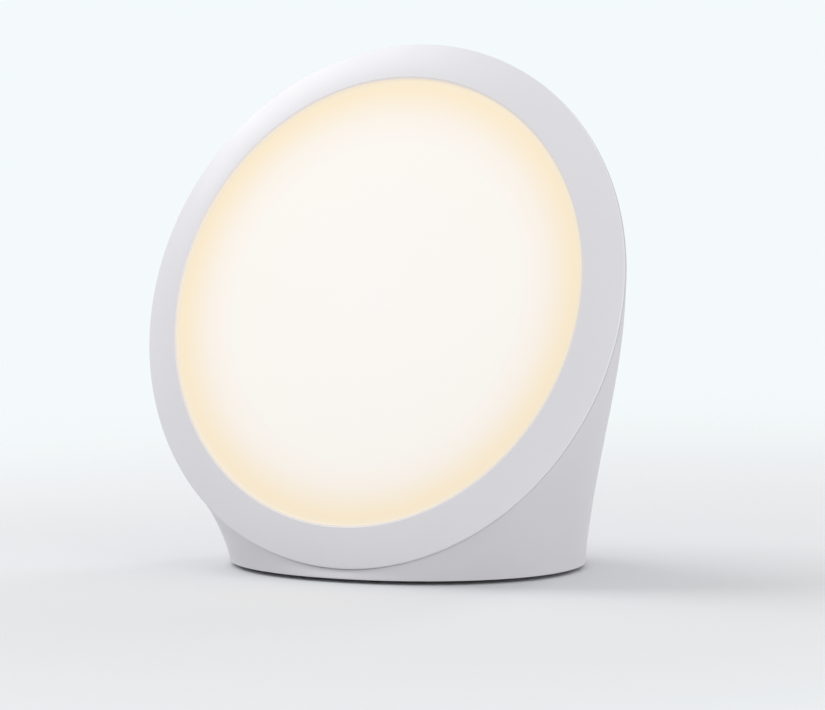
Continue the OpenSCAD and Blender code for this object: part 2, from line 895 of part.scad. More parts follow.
module speaker_frame() color([0.25, 0.25, 0.27]) on_back(speaker_z) {
  rotate_extrude($fn = smooth) polygon([
    [collar_r - frame_t, collar_back],
    [sound_bore_r, collar_back],
    [sound_bore_r, collar_back - frame_t],
    [frame_neck_r + frame_t, frame_low + frame_t],
    [frame_neck_r / 2, frame_low + frame_t],
    [frame_neck_r / 2, frame_low],
    [frame_neck_r, frame_low],
    [collar_r - frame_t, collar_back - frame_t]
  ]);
}

module speaker_cone() color([0.12, 0.12, 0.13]) on_back(speaker_z) {
  throat = frame_low + throat_h;
  rotate_extrude($fn = smooth) polygon([
    [sound_bore_r, collar_back - cone_t / 2],
    [sound_bore_r - surround_w / 2, collar_back - cone_t / 6],
    [sound_bore_r - surround_w, collar_back - cone_t],
    [dome_r, throat],
    [0, throat + dome_rise],
    [0, throat + dome_rise - cone_t],
    [dome_r, throat - cone_t],
    [sound_bore_r - surround_w, collar_back - 2 * cone_t],
    [sound_bore_r, collar_back - 1.5 * cone_t]
  ]);
}

module speaker_magnet() color([0.45, 0.45, 0.47]) on_back(speaker_z)
  disc(magnet_r, frame_low - magnet_h, frame_low);

// ---- Snooze key ----

module snooze_key() color(key_colour) {
  lift = [0, cos(back_tilt(snooze_z)), sin(back_tilt(snooze_z))] * snooze_proud;
  intersection() {
    on_back(snooze_z) slab(snooze_flange_low, beyond) stadium(snooze_w, snooze_h);
    translate(lift) outer_form();
  }
  on_back(snooze_z) {
    slab(snooze_flange_low, snooze_flange_high) stadium(snooze_w + 2 * snooze_rim, snooze_h + 2 * snooze_rim);
    disc(plunger_r, snooze_plunger_low, snooze_flange_low + eps);
  }
}

module snooze_board() color([0.12, 0.36, 0.24]) on_back(snooze_z) {
  difference() {
    block([2 * (snooze_post_x + boss_r), snooze_h], snooze_board_face - board_t, snooze_board_face);
    snooze_posts(shank_hole_r, snooze_board_face - board_t - 1, snooze_board_face + 1);
  }
}

module snooze_switch() color([0.15, 0.15, 0.16]) on_back(snooze_z) {
  switch_body(snooze_board_face, snooze_switch_top, snooze_travel);
}

module snooze_screws() color([0.6, 0.6, 0.62]) on_back(snooze_z) {
  for (side = [-1, 1]) translate([side * snooze_post_x, 0, snooze_board_face - board_t])
    rotate([180, 0, 0]) screw(snooze_screw_l);
}

// ---- Foot ----

function oval(inset) =
  [for (i = [0 : ring_points - 1]) let (p = foot_pt(360 * i / ring_points, inset)) [p.x, p.y]];

module base_plate() color([0.78, 0.775, 0.795]) {
  difference() {
    union() {
      slab(plate_low, plate_high) polygon(oval(wall + plate_gap));
      at_corners(foot_x, foot_y) disc(cup_r, plate_low, cup_high);
      translate([0, cover_y, 0]) disc(cell_cup_r, plate_low, cell_roof + cell_cup_roof);
    }
    at_corners(foot_x, foot_y) {
      disc(foot_r + seat_gap, plate_low - 1, plate_low + foot_recess);
      disc(screw_head_r + screw_head_room, plate_low, base_screw_seat);
      disc(shank_hole_r, plate_low, cup_high + 1);
    }
    translate([0, cover_y, 0]) {
      disc(cover_r + lug_gap, plate_low - 1, lug_low - lug_play);
      disc(lug_r + lug_gap, lug_low - lug_play, lug_high + lug_play);
      disc(cell_d / 2 + lug_gap, plate_low, cell_roof);
      intersection() {
        disc(lug_r + lug_gap, plate_low - 1, lug_high);
        slab(plate_low - 2, lug_high) for (turn = [0, 180]) rotate(cover_turn + turn)
          slice(2 * lug_r, lug_half + lug_half_play);
      }
    }
  }
}

module base_screws() color([0.6, 0.6, 0.62]) {
  at_corners(foot_x, foot_y) translate([0, 0, base_screw_seat]) rotate([180, 0, 0]) screw(base_screw_l);
}

module rubber_feet() color([0.25, 0.25, 0.26]) {
  at_corners(foot_x, foot_y) rotate_extrude($fn = 64) polygon([
    [0, 0],
    [foot_r - foot_round, 0],
    [foot_r, foot_round],
    [foot_r, plate_low + foot_recess],
    [0, plate_low + foot_recess]
  ]);
}

module battery_cover() color([0.78, 0.775, 0.795]) translate([0, cover_y, 0]) {
  difference() {
    union() {
      disc(cover_r, cover_low, cover_high);
      disc(cover_r - lug_gap, cover_high - eps, lug_high);
      intersection() {
        disc(lug_r, lug_low, lug_high);
        slab(lug_low, lug_high) for (turn = [0, 180]) rotate(turn) slice(2 * lug_r, lug_half);
      }
    }
    block([coin_slot_l, coin_slot_w], cover_low - 1, cover_low + coin_slot_depth);
  }
}

module coin_cell() color([0.78, 0.78, 0.8]) translate([0, cover_y, 0]) {
  disc(cell_d / 2, cell_low, cell_high - cell_step);
  disc(cell_d / 2 - cell_seal, cell_high - cell_step - eps, cell_high);
}

module battery_contact() color([0.8, 0.7, 0.45]) translate([0, cover_y, 0]) {
  disc(contact_r, cell_high, cell_roof);
  block([contact_w, contact_l], cell_roof - contact_t, cell_roof);
}

rear_shell();
front_bezel();
diffuser();
light_tray();
tray_screws();
led_board();
white_leds();
amber_leds();
display_board();
display_spacers();
display_module();
display_digits();
rear_panel();
panel_screws();
alarm_key();
clock_key();
light_key();
sound_key();
minus_key();
plus_key();
key_switches();
main_board();
board_screws();
board_chips();
capacitors();
dc_jack();
jack_pin();
speaker_grille();
speaker_frame();
speaker_cone();
speaker_magnet();
snooze_key();
snooze_board();
snooze_switch();
snooze_screws();
base_plate();
base_screws();
rubber_feet();
battery_cover();
coin_cell();
battery_contact();
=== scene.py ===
"""Sunrise alarm clock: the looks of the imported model, its light, floor and camera.

Lengths are written in millimetres and turned into metres where a mesh is made.
"""
from math import atan2, ceil, copysign, cos, degrees, pi, radians, sin

import bmesh
import bpy
from mathutils import Matrix, Vector
from mathutils.bvhtree import BVHTree


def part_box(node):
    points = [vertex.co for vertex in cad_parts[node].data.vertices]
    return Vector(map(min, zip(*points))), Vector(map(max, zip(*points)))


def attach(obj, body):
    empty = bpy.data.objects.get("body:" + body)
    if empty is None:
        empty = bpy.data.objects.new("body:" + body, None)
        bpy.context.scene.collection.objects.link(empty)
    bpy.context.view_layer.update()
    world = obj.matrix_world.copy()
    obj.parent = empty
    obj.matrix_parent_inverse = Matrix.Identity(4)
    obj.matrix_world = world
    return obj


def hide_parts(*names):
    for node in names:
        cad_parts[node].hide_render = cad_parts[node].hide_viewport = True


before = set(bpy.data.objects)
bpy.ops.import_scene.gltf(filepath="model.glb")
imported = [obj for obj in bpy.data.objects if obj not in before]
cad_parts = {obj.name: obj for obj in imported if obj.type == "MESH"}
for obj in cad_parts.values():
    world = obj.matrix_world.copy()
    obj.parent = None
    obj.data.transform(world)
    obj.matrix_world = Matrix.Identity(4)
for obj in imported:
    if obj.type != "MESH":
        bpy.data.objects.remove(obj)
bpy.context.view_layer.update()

MM = 0.001
ROOT = "housing"


def size_of(node):
    """The lowest and highest corner of a CAD node, in millimetres."""
    low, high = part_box(node)
    return low / MM, high / MM


# ---- Driving sizes, from the frame where a box gives them ----

WALL, RIM_LAND, RIM_STUB = 2.5, 5.5, 3.0
PLATE_GAP, FLANGE_W = 1.6, 2.0

shell_low, shell_high = size_of("rear_shell")
HEAD_R = shell_high.x
BASE_X = size_of("base_plate")[1].x + WALL + PLATE_GAP
BASE_Y = shell_high.y
FOOT_H = shell_low.z
WINDOW_R = size_of("diffuser")[1].x - FLANGE_W
FOOT_SQUARE = 2.1
LEAN = radians(20.5)
CHIN_H = 4.7
HEAD_Y = -12.7
HEAD_Z = CHIN_H + HEAD_R * cos(LEAN)

# The loft of the housing, and the rounds on its foot edge and its rim
FLARE, REACH = 0.11, 0.31
SIDE_CROWN, BACK_CROWN = 12.0, 18.0
INNER_FLATTEN = 1.5
FOOT_ROUND, RIM_ROUND = 0.4, 0.35

# The bezel and the diffuser, heights above the rim plane
BEZEL_RISE, BEZEL_EDGE, BEZEL_BULGE, BEZEL_WALL = 6.3, 0.7, 0.5, 2.0
BEZEL_LOW, BEZEL_FLOOR, BEZEL_CLIMB = -2.5, 0.6, 1.6
EDGE_ROUND, EDGE_BREAK = 0.8, 0.2
LIP_H, LIP_ROUND, CREST_OUT = 0.6, 0.45, 0.9
SEAM_W, SEAM_H, SKIRT_GAP = 1.0, 0.5, 0.2
DIFFUSER_SEAT = BEZEL_RISE - LIP_H
DIFFUSER_T, DIFFUSER_DOME, DIFFUSER_LAP = 2.3, 0.9, 0.02
FLANGE_T, SPIGOT_GAP = 2.5, 0.3

# The back panel, depths under the skin
PANEL_Z, PANEL_W, PANEL_H, PANEL_T = 35.0, 52.0, 46.0, 2.5
PANEL_DROP, PANEL_CORNER, PANEL_ROUND = 4.6, 6.0, 0.4
PANEL_FACE, PANEL_BACK = -PANEL_DROP, -PANEL_DROP - PANEL_T
POCKET_WALL, LEDGE_W, LEDGE_T, SEAT_GAP = 2.0, 1.5, 1.5, 0.1
LEDGE_BACK = PANEL_BACK - LEDGE_T
INLET_Y, INLET_NOSE_R = -15.0, 4.55
PANEL_SCREW_X, PANEL_BOSS_H, BOSS_R = 20.5, 5.5, 3.5
SCREW_HEAD_R, SCREW_HEAD_H, SHANK_HOLE_R, WELL_EDGE = 2.9, 1.4, 1.6, 0.2

# The keys on the panel, and the switches and the board under them
KEY_W, KEY_H, KEY_PROUD, KEY_ROUND = 15.0, 6.5, 1.2, 0.7
KEY_RIM, KEY_RIM_T = 0.8, 0.95
KEY_COL, KEY_ROW, KEY_TOP_ROW = 25.0, 10.0, 15.5
TOUCH_GAP, SLIDE_GAP = 0.05, 0.25
KEY_TRAVEL, SWITCH_ROOM, SWITCH_H = 0.8, 2.2, 3.5
PLUNGER_R, PLUNGER_DIP, PLUNGER_ROOT = 1.7, 0.4, 0.1
KEY_RIM_HIGH = PANEL_BACK - TOUCH_GAP
KEY_RIM_LOW = KEY_RIM_HIGH - KEY_RIM_T
KEY_SWITCH_TOP = KEY_RIM_LOW - KEY_TRAVEL - SWITCH_ROOM
BOARD_FACE = KEY_SWITCH_TOP - SWITCH_H
BOARD_POST_X, BOARD_POST_Y = 33.0, 21.0
INK_T = 0.03

# The speaker grille and its collar
SPEAKER_Z, GRILLE_R, GRILLE_DROP, GRILLE_T = HEAD_Z, 24.8, 2.8, 1.6
COLLAR_R, COLLAR_H, SOUND_BORE_R = 27.3, 4.6, 23.3
GRILLE_BACK = -GRILLE_DROP - GRILLE_T
COLLAR_BACK = GRILLE_BACK - COLLAR_H

# The snooze key
SNOOZE_Z, SNOOZE_W, SNOOZE_H = HEAD_Z + 0.52 * HEAD_R, 40.0, 12.0
SNOOZE_PROUD, SNOOZE_ROUND = 0.8, 0.8
SNOOZE_RIM, SNOOZE_RIM_T, SNOOZE_RIM_HIGH = 1.2, 1.0, -4.7
SNOOZE_TRAVEL, SNOOZE_ROOM = 1.0, 1.0
SNOOZE_RIM_LOW = SNOOZE_RIM_HIGH - SNOOZE_RIM_T
SNOOZE_SWITCH_TOP = SNOOZE_RIM_LOW - SNOOZE_TRAVEL - SNOOZE_ROOM
SNOOZE_BOARD_FACE = SNOOZE_SWITCH_TOP - SWITCH_H
SNOOZE_POST_X, SNOOZE_POST_R = 24.6, 2.6
RIDGE_W, RIDGE_H, RIDGE_PITCH, RIDGE_RISE, RIDGE_ROUND = 9.0, 1.2, 2.8, 0.4, 0.35

# The bosses in the foot, which hold the base plate
FOOT_X, FOOT_Y, CUP_HIGH, FOOT_BOSS_HIGH = 45.0, 19.5, 5.5, 15.9
WEB_T, WEB_CORNER = 2.4, 0.2

# The posts behind the light tray
TRAY_BACK, TRAY_POST_R = -11.6, WINDOW_R - 22
TRAY_POST_ANGLES = (20, -20, 160, 200)

# How far a rib or post runs into the wall, and a cutter past a flat face
ROOTED, OVERCUT = 0.8, 1.0
# The rounds on the mouths of the openings
MOUTH_ROUND, SNOOZE_MOUTH_ROUND, PANEL_MOUTH_ROUND = 0.5, 0.4, 0.3

# ---- How finely things are drawn ----

WALL_STEPS, OUTER_LEVELS, INNER_LEVELS = 288, 72, 24
BEZEL_STEPS, DIFFUSER_STEPS, DOME_STEPS, FACE_STEPS = 384, 256, 40, 24
POST_STEPS, WELL_STEPS, INLET_STEPS, CIRCLE_STEPS = 32, 48, 64, 96
EDGE_STEPS = 5
# A straight stretch of an outline is cut into pieces no longer than this
LONGEST_EDGE = 4.0
# Lengths below this count as nothing, and points closer than the weld, in metres, become one
TINY, WELD = 1e-6, 1e-7
# Edges sharper than this stay hard, in degrees: by default, and on the moulded pieces
SHARP, MOULDED_SHARP = 30, 35

# ---- Frames ----

HEAD = Matrix((
    (1, 0, 0, 0),
    (0, sin(LEAN), -cos(LEAN), HEAD_Y),
    (0, cos(LEAN), sin(LEAN), HEAD_Z),
    (0, 0, 0, 1),
))


def head_point(r, u, z):
    """A point of the head's frame, from its radius, angle and height over the rim plane."""
    return HEAD @ Vector((r * cos(u), r * sin(u), z))


def bezier(a, b, c, d, v):
    return (1 - v) ** 3 * a + 3 * (1 - v) ** 2 * v * b + 3 * (1 - v) * v * v * c + v ** 3 * d


def squared(s):
    """A sine or cosine that turns a circle into a slightly squared one."""
    return copysign(abs(s) ** (2 / FOOT_SQUARE), s)


def foot_point(u, inset, rise=0.0):
    """A point of the foot's outline, moved inwards and up."""
    x = (BASE_X - inset) * squared(cos(u))
    y = (BASE_Y - inset) * squared(sin(u))
    return Vector((x, y, FOOT_H + rise))


def skin_point(u, v, inset=0.0, land=0.0, stub=0.0):
    """A point of the housing's loft: u goes round it, v from the foot to the rim."""
    low = foot_point(u, inset)
    high = head_point(HEAD_R - land, u, -stub)
    normal = HEAD.to_3x3() @ Vector((0, 0, 1))
    back = (BACK_CROWN - INNER_FLATTEN * inset) * max(0.0, sin(u)) ** 2
    crown = SIDE_CROWN * cos(u) ** 2 + back
    start = low + Vector((0, 0, FLARE * (high - low).length))
    end = high + REACH * (low - high) - crown * normal
    return bezier(low, start, end, high, v)


def back_frame(z):
    """The frame on the middle of the back at a height.

    Its x points right as seen from behind, its y up the skin and its z outwards.
    """
    halvings, step = 24, 0.01
    low, high = 0.0, 1.0
    for _ in range(halvings):
        middle = (low + high) / 2
        if skin_point(pi / 2, middle).z < z:
            low = middle
        else:
            high = middle
    under = skin_point(pi / 2, low - step)
    over = skin_point(pi / 2, low + step)
    tilt = atan2(under.y - over.y, over.z - under.z)
    turn = Matrix((
        (-1, 0, 0),
        (0, -sin(tilt), cos(tilt)),
        (0, cos(tilt), sin(tilt)),
    ))
    return Matrix.Translation(skin_point(pi / 2, low)) @ turn.to_4x4()


PANEL = back_frame(PANEL_Z)
SPEAKER = back_frame(SPEAKER_Z)
SNOOZE = back_frame(SNOOZE_Z)

# ---- Making meshes ----


def make(name, points, faces, body, slot=None, material=None, replaces=(), sharp=SHARP):
    """A mesh object from points in millimetres, smooth shaded up to a sharp angle."""
    mesh = bpy.data.meshes.new(name)
    mesh.from_pydata([Vector(p) * MM for p in points], [], faces)
    work = bmesh.new()
    work.from_mesh(mesh)
    bmesh.ops.remove_doubles(work, verts=work.verts, dist=WELD)
    bmesh.ops.recalc_face_normals(work, faces=work.faces)
    work.to_mesh(mesh)
    work.free()
    piece = bpy.data.objects.new(name, mesh)
    bpy.context.collection.objects.link(piece)
    finish_piece(piece, body, material, replaces, sharp)
    return piece


def finish_piece(piece, body, material, replaces, sharp=MOULDED_SHARP):
    """Shades a piece, gives it its material, puts it under its body, and hides the CAD nodes it
    replaces.
    """
    piece.data.shade_smooth()
    piece.data.set_sharp_from_angle(angle=radians(sharp))
    if material:
        piece.data.materials.clear()
        piece.data.materials.append(material)
    if body:
        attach(piece, body)
    if replaces:
        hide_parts(*replaces)


def joined(parts):
    """Points and faces of several closed solids as one list."""
    points, faces = [], []
    for part_points, part_faces in parts:
        start = len(points)
        points += part_points
        faces += [tuple(start + i for i in face) for face in part_faces]
    return points, faces


def shape(piece, operation, *parts):
    """Unites other solids with a piece, or cuts them out of it."""
    tool = make("tool", *joined(parts), body=None)
    change = piece.modifiers.new("shape", "BOOLEAN")
    change.operation = operation
    change.solver = "MANIFOLD"
    change.object = tool
    graph = bpy.context.evaluated_depsgraph_get()
    mesh = bpy.data.meshes.new_from_object(piece.evaluated_get(graph))
    piece.modifiers.clear()
    piece.data = mesh
    bpy.data.objects.remove(tool)


def moved(part, matrix):
    points, faces = part
    return [matrix @ Vector(p) for p in points], faces


def turns(steps):
    """Angles once round, in equal steps."""
    return [2 * pi * i / steps for i in range(steps)]


def quarter(steps):
    """Angles from 0 to 90 degrees, in equal steps."""
    return [radians(90 * k / steps) for k in range(steps + 1)]


def lathe(profile, steps, matrix=Matrix()):
    """Points and faces of a closed profile [(radius, height), ...] turned round z."""
    points, faces = [], []
    count = len(profile)
    for a in turns(steps):
        points += [matrix @ Vector((r * cos(a), r * sin(a), z)) for r, z in profile]
    for i in range(steps):
        j = (i + 1) % steps
        for k in range(count):
            m = (k + 1) % count
            if profile[k][0] < TINY and profile[m][0] < TINY:
                continue
            faces.append((i * count + k, j * count + k, j * count + m, i * count + m))
    return points, faces


def arc(cx, cy, r, start, stop, steps):
    """Points on a round stretch, with angles in degrees."""
    angles = [radians(start + (stop - start) * i / steps) for i in range(steps + 1)]
    return [(cx + r * cos(a), cy + r * sin(a)) for a in angles]


def stack(rings, closed_low=True, closed_high=True):
    """Points and faces of rings of equal length laid on each other."""
    count = len(rings[0])
    points = [p for ring in rings for p in ring]
    faces = []
    for k in range(len(rings) - 1):
        low, high = k * count, (k + 1) * count
        for i in range(count):
            j = (i + 1) % count
            faces.append((low + i, low + j, high + j, high + i))
    if closed_low:
        faces.append(tuple(reversed(range(count))))
    if closed_high:
        top = (len(rings) - 1) * count
        faces.append(tuple(top + i for i in range(count)))
    return points, faces


def round_box(w, h, corner, steps=12):
    """(point, outward direction) pairs round a rectangle with round corners."""
    corners = []
    for k, (sx, sy) in enumerate(((1, 1), (-1, 1), (-1, -1), (1, -1))):
        centre = Vector((sx * (w / 2 - corner), sy * (h / 2 - corner)))
        for i in range(steps + 1):
            a = radians(90 * k + 90 * i / steps)
            out = Vector((cos(a), sin(a)))
            corners.append((centre + corner * out, out))
    outline = []
    for (point, out), (after, after_out) in zip(corners, corners[1:] + corners[:1]):
        length = (after - point).length
        if length < TINY:
            continue
        parts = max(1, ceil(length / LONGEST_EDGE))
        for k in range(parts):
            t = k / parts
            outline.append((point.lerp(after, t), out.lerp(after_out, t).normalized()))
    return outline


def stadium(w, h):
    return round_box(w, h, h / 2, steps=20)


def circle(r, steps=CIRCLE_STEPS):
    directions = [Vector((cos(a), sin(a))) for a in turns(steps)]
    return [(r * out, out) for out in directions]


def shifted(outline, x, y):
    return [(point + Vector((x, y)), out) for point, out in outline]


def level(height, x, y):
    """The height at a point, where a height is a number or a function of x and y."""
    return height(x, y) if callable(height) else height


def above(height, rise):
    """A height raised by a number."""
    return lambda x, y: level(height, x, y) + rise


def ring_at(outline, grow, height):
    """The outline moved outwards, at a height."""
    ring = []
    for point, out in outline:
        q = point + grow * out
        ring.append(Vector((q.x, q.y, level(height, q.x, q.y))))
    return ring


def pad(outline, low, top, edge=0.0, fill=5):
    """A solid under a top surface, with its upper edge rounded.

    Its top is filled with ever smaller rings, so that it follows a curved surface.
    """
    rings = [ring_at(outline, 0, low)]
    for a in quarter(EDGE_STEPS) if edge else [0.0]:
        rings.append(ring_at(outline, -edge * (1 - cos(a)), above(top, -edge * (1 - sin(a)))))
    rim = rings[-1]
    middle = sum((p.xy for p in rim), Vector((0, 0))) / len(rim)
    for k in range(1, fill):
        flat = [middle + (p.xy - middle) * (1 - k / fill) for p in rim]
        rings.append([Vector((q.x, q.y, level(top, q.x, q.y))) for q in flat])
    return stack(rings)


def hole(outline, low, top, edge, out=20.0):
    """A cutter for a hole with a rounded mouth in the top surface, running out beyond it."""
    flared = 82
    rings = [ring_at(outline, 0, low)]
    for k in range(EDGE_STEPS + 1):
        a = radians(flared * k / EDGE_STEPS)
        rings.append(ring_at(outline, edge * (1 - cos(a)), above(top, -edge * (1 - sin(a)))))
    rings.append(ring_at(outline, edge * (1 - cos(radians(flared))), above(top, out)))
    return stack(rings)


# ---- Materials ----

# The part of its range in which most of a noise texture lies, and the ends of a mottled ramp
NOISE_LOW, NOISE_HIGH = 0.3, 0.7
MOTTLE_LOW, MOTTLE_HIGH = 0.35, 0.65
PLASTIC_IOR = 1.49


def node_material(name):
    material = bpy.data.materials.new(name)
    material.use_nodes = True
    tree = material.node_tree
    return material, tree, tree.nodes["Principled BSDF"]


def srgb(r, g, b):
    """Linear colour from 0 to 255 values as a screen shows them."""
    def straight(c):
        c /= 255
        return c / 12.92 if c <= 0.04045 else ((c + 0.055) / 1.055) ** 2.4
    return straight(r), straight(g), straight(b), 1.0


def noise(tree, scale, detail=3.0, stretch=(1, 1, 1)):
    coords = tree.nodes.new("ShaderNodeTexCoord")
    mapping = tree.nodes.new("ShaderNodeMapping")
    mapping.inputs["Scale"].default_value = stretch
    texture = tree.nodes.new("ShaderNodeTexNoise")
    texture.inputs["Scale"].default_value = scale
    texture.inputs["Detail"].default_value = detail
    tree.links.new(coords.outputs["Object"], mapping.inputs["Vector"])
    tree.links.new(mapping.outputs["Vector"], texture.inputs["Vector"])
    return texture.outputs["Fac"]


def spread(tree, value, low, high):
    """A noise value mapped to the range low to high."""
    node = tree.nodes.new("ShaderNodeMapRange")
    node.inputs["From Min"].default_value = NOISE_LOW
    node.inputs["From Max"].default_value = NOISE_HIGH
    node.inputs["To Min"].default_value = low
    node.inputs["To Max"].default_value = high
    tree.links.new(value, node.inputs["Value"])
    return node.outputs["Result"]


def bump(tree, shader, value, distance, strength):
    """Relief from a value, with its distance in metres."""
    node = tree.nodes.new("ShaderNodeBump")
    node.inputs["Distance"].default_value = distance
    node.inputs["Strength"].default_value = strength
    tree.links.new(value, node.inputs["Height"])
    tree.links.new(node.outputs["Normal"], shader.inputs["Normal"])


def mottled(tree, shader, colour, change, scale):
    """A base colour that drifts slightly over the surface."""
    ramp = tree.nodes.new("ShaderNodeValToRGB")
    low, high = ramp.color_ramp.elements
    low.position, high.position = MOTTLE_LOW, MOTTLE_HIGH
    low.color = [c * (1 - change) for c in colour[:3]] + [1]
    high.color = [min(1, c * (1 + change)) for c in colour[:3]] + [1]
    tree.links.new(noise(tree, scale, detail=2.0), ramp.inputs["Fac"])
    tree.links.new(ramp.outputs["Color"], shader.inputs["Base Color"])


def uneven_gloss(tree, shader, value, low, high):
    """A roughness that drifts with a noise value."""
    tree.links.new(spread(tree, value, low, high), shader.inputs["Roughness"])


def plastic(name, colour, roughness, grain=0.00002, grain_scale=2600, change=0.006):
    """Moulded plastic: a fine grain and a faint drift of colour and gloss."""
    material, tree, shader = node_material(name)
    mottled(tree, shader, colour, change, scale=18)
    uneven_gloss(tree, shader, noise(tree, scale=60), roughness - 0.03, roughness + 0.03)
    shader.inputs["IOR"].default_value = PLASTIC_IOR
    bump(tree, shader, noise(tree, grain_scale, detail=2.0), grain, strength=0.35)
    return material


def metal(name, colour, roughness, stretch=(1, 1, 1)):
    """Metal with fine marks, drawn out along the axis that the stretch makes small."""
    material, tree, shader = node_material(name)
    mottled(tree, shader, colour, change=0.04, scale=300)
    shader.inputs["Metallic"].default_value = 1.0
    marks = noise(tree, scale=2400, stretch=stretch)
    uneven_gloss(tree, shader, marks, roughness - 0.06, roughness + 0.06)
    bump(tree, shader, marks, distance=0.00001, strength=0.3)
    return material


def rubber(name, colour):
    material, tree, shader = node_material(name)
    mottled(tree, shader, colour, change=0.08, scale=400)
    uneven_gloss(tree, shader, noise(tree, scale=700), 0.72, 0.9)
    shader.inputs["Specular IOR Level"].default_value = 0.3
    bump(tree, shader, noise(tree, scale=3800, detail=4.0), distance=0.00004, strength=0.5)
    return material


def circuit_board(name, mask, copper):
    """Solder mask over a grid of tracks, with bare pads at the middle of scattered cells."""
    material, tree, shader = node_material(name)
    coords = tree.nodes.new("ShaderNodeTexCoord")
    tracks = tree.nodes.new("ShaderNodeTexBrick")
    tracks.inputs["Scale"].default_value = 260
    tracks.inputs["Mortar Size"].default_value = 0.045
    tracks.inputs["Brick Width"].default_value = 1.7
    tracks.inputs["Row Height"].default_value = 0.6
    tracks.inputs["Color1"].default_value = mask
    tracks.inputs["Color2"].default_value = [c * 0.93 for c in mask[:3]] + [1]
    tracks.inputs["Mortar"].default_value = [c * 1.5 for c in mask[:3]] + [1]
    tree.links.new(coords.outputs["Object"], tracks.inputs["Vector"])
    cells = tree.nodes.new("ShaderNodeTexVoronoi")
    cells.inputs["Scale"].default_value = 190
    tree.links.new(coords.outputs["Object"], cells.inputs["Vector"])
    pad_r = 0.13
    pads = tree.nodes.new("ShaderNodeMath")
    pads.operation = "LESS_THAN"
    pads.inputs[1].default_value = pad_r
    tree.links.new(cells.outputs["Distance"], pads.inputs[0])
    mix = tree.nodes.new("ShaderNodeMix")
    mix.data_type = "RGBA"
    tree.links.new(pads.outputs[0], mix.inputs["Factor"])
    tree.links.new(tracks.outputs["Color"], mix.inputs["A"])
    mix.inputs["B"].default_value = copper
    tree.links.new(mix.outputs["Result"], shader.inputs["Base Color"])
    tree.links.new(pads.outputs[0], shader.inputs["Metallic"])
    shader.inputs["Roughness"].default_value = 0.32
    shader.inputs["Coat Weight"].default_value = 0.25
    bump(tree, shader, tracks.outputs["Fac"], distance=0.00003, strength=0.4)
    return material


def lens(name, colour, glow):
    """The clear body of an emitter over its lit phosphor."""
    material, tree, shader = node_material(name)
    mottled(tree, shader, colour, change=0.05, scale=900)
    shader.inputs["Roughness"].default_value = 0.18
    shader.inputs["Coat Weight"].default_value = 0.6
    shader.inputs["Emission Color"].default_value = colour
    shader.inputs["Emission Strength"].default_value = glow
    return material


def woven(name, colour):
    """Pressed paper of a speaker cone, with faint fibres."""
    material, tree, shader = node_material(name)
    fibres = noise(tree, scale=1400, detail=5.0, stretch=(1, 1, 0.2))
    mottled(tree, shader, colour, change=0.15, scale=500)
    uneven_gloss(tree, shader, fibres, 0.8, 0.95)
    bump(tree, shader, fibres, distance=0.00006, strength=0.6)
    return material


def head_place(tree):
    """Two node values: a point in the head's frame, and its distance from the head's axis.

    Both are in millimetres.
    """
    coords = tree.nodes.new("ShaderNodeTexCoord")
    mapping = tree.nodes.new("ShaderNodeMapping")
    mapping.vector_type = "POINT"
    # The head's frame undone: first the turn about x, then the shift along its own axes
    centre = Vector((0, HEAD_Y, HEAD_Z)) * MM
    turn = HEAD.to_3x3().inverted()
    mapping.inputs["Rotation"].default_value = turn.to_euler()
    mapping.inputs["Scale"].default_value = (1 / MM, 1 / MM, 1 / MM)
    mapping.inputs["Location"].default_value = -(turn @ centre) / MM
    tree.links.new(coords.outputs["Object"], mapping.inputs["Vector"])
    split = tree.nodes.new("ShaderNodeSeparateXYZ")
    tree.links.new(mapping.outputs["Vector"], split.inputs["Vector"])
    join = tree.nodes.new("ShaderNodeCombineXYZ")
    tree.links.new(split.outputs["X"], join.inputs["X"])
    tree.links.new(split.outputs["Y"], join.inputs["Y"])
    length = tree.nodes.new("ShaderNodeVectorMath")
    length.operation = "LENGTH"
    tree.links.new(join.outputs["Vector"], length.inputs[0])
    return mapping.outputs["Vector"], length.outputs["Value"]


def slanted(tree, place, direction, middle, rise):
    """A value that changes along a direction.

    It is middle on the head's axis, and middle plus rise at the window's edge.
    """
    along = tree.nodes.new("ShaderNodeVectorMath")
    along.operation = "DOT_PRODUCT"
    along.inputs[1].default_value = Vector((*direction, 0)).normalized() * rise / WINDOW_R
    tree.links.new(place, along.inputs[0])
    add = tree.nodes.new("ShaderNodeMath")
    add.inputs[1].default_value = middle
    tree.links.new(along.outputs["Value"], add.inputs[0])
    return add.outputs[0]


def by_radius(tree, radius, stops, inner, outer):
    """A colour that changes with the distance from the head's axis, in (radius, colour) stops."""
    scaled = tree.nodes.new("ShaderNodeMapRange")
    scaled.inputs["From Min"].default_value = inner
    scaled.inputs["From Max"].default_value = outer
    tree.links.new(radius, scaled.inputs["Value"])
    ramp = tree.nodes.new("ShaderNodeValToRGB")
    elements = ramp.color_ramp.elements
    while len(elements) < len(stops):
        elements.new(0.5)
    for element, (place, colour) in zip(elements, stops):
        element.position = (place - inner) / (outer - inner)
        element.color = (*colour[:3], 1)
    tree.links.new(scaled.outputs["Result"], ramp.inputs["Fac"])
    return ramp.outputs["Color"]


# The glow that the lamps add, from the middle to the edge, as (radius, linear colour)
GLOW = (
    (0.0, (0.46, 0.43, 0.41)),
    (60.0, (0.45, 0.42, 0.38)),
    (70.0, (0.45, 0.39, 0.32)),
    (77.0, (0.45, 0.35, 0.2)),
    (82.0, (0.45, 0.32, 0.12)),
    (WINDOW_R, (0.43, 0.34, 0.19)),
)
OPAL_BASE = (0.55, 0.545, 0.535, 1)
# Painted highlight: the direction towards the top, where the key lamp falls, in which the glow is
# made brighter, and by how much at the window's edge
GLOW_LIT_SIDE, GLOW_PAINTED_LIFT = (-0.3, 1), 0.04


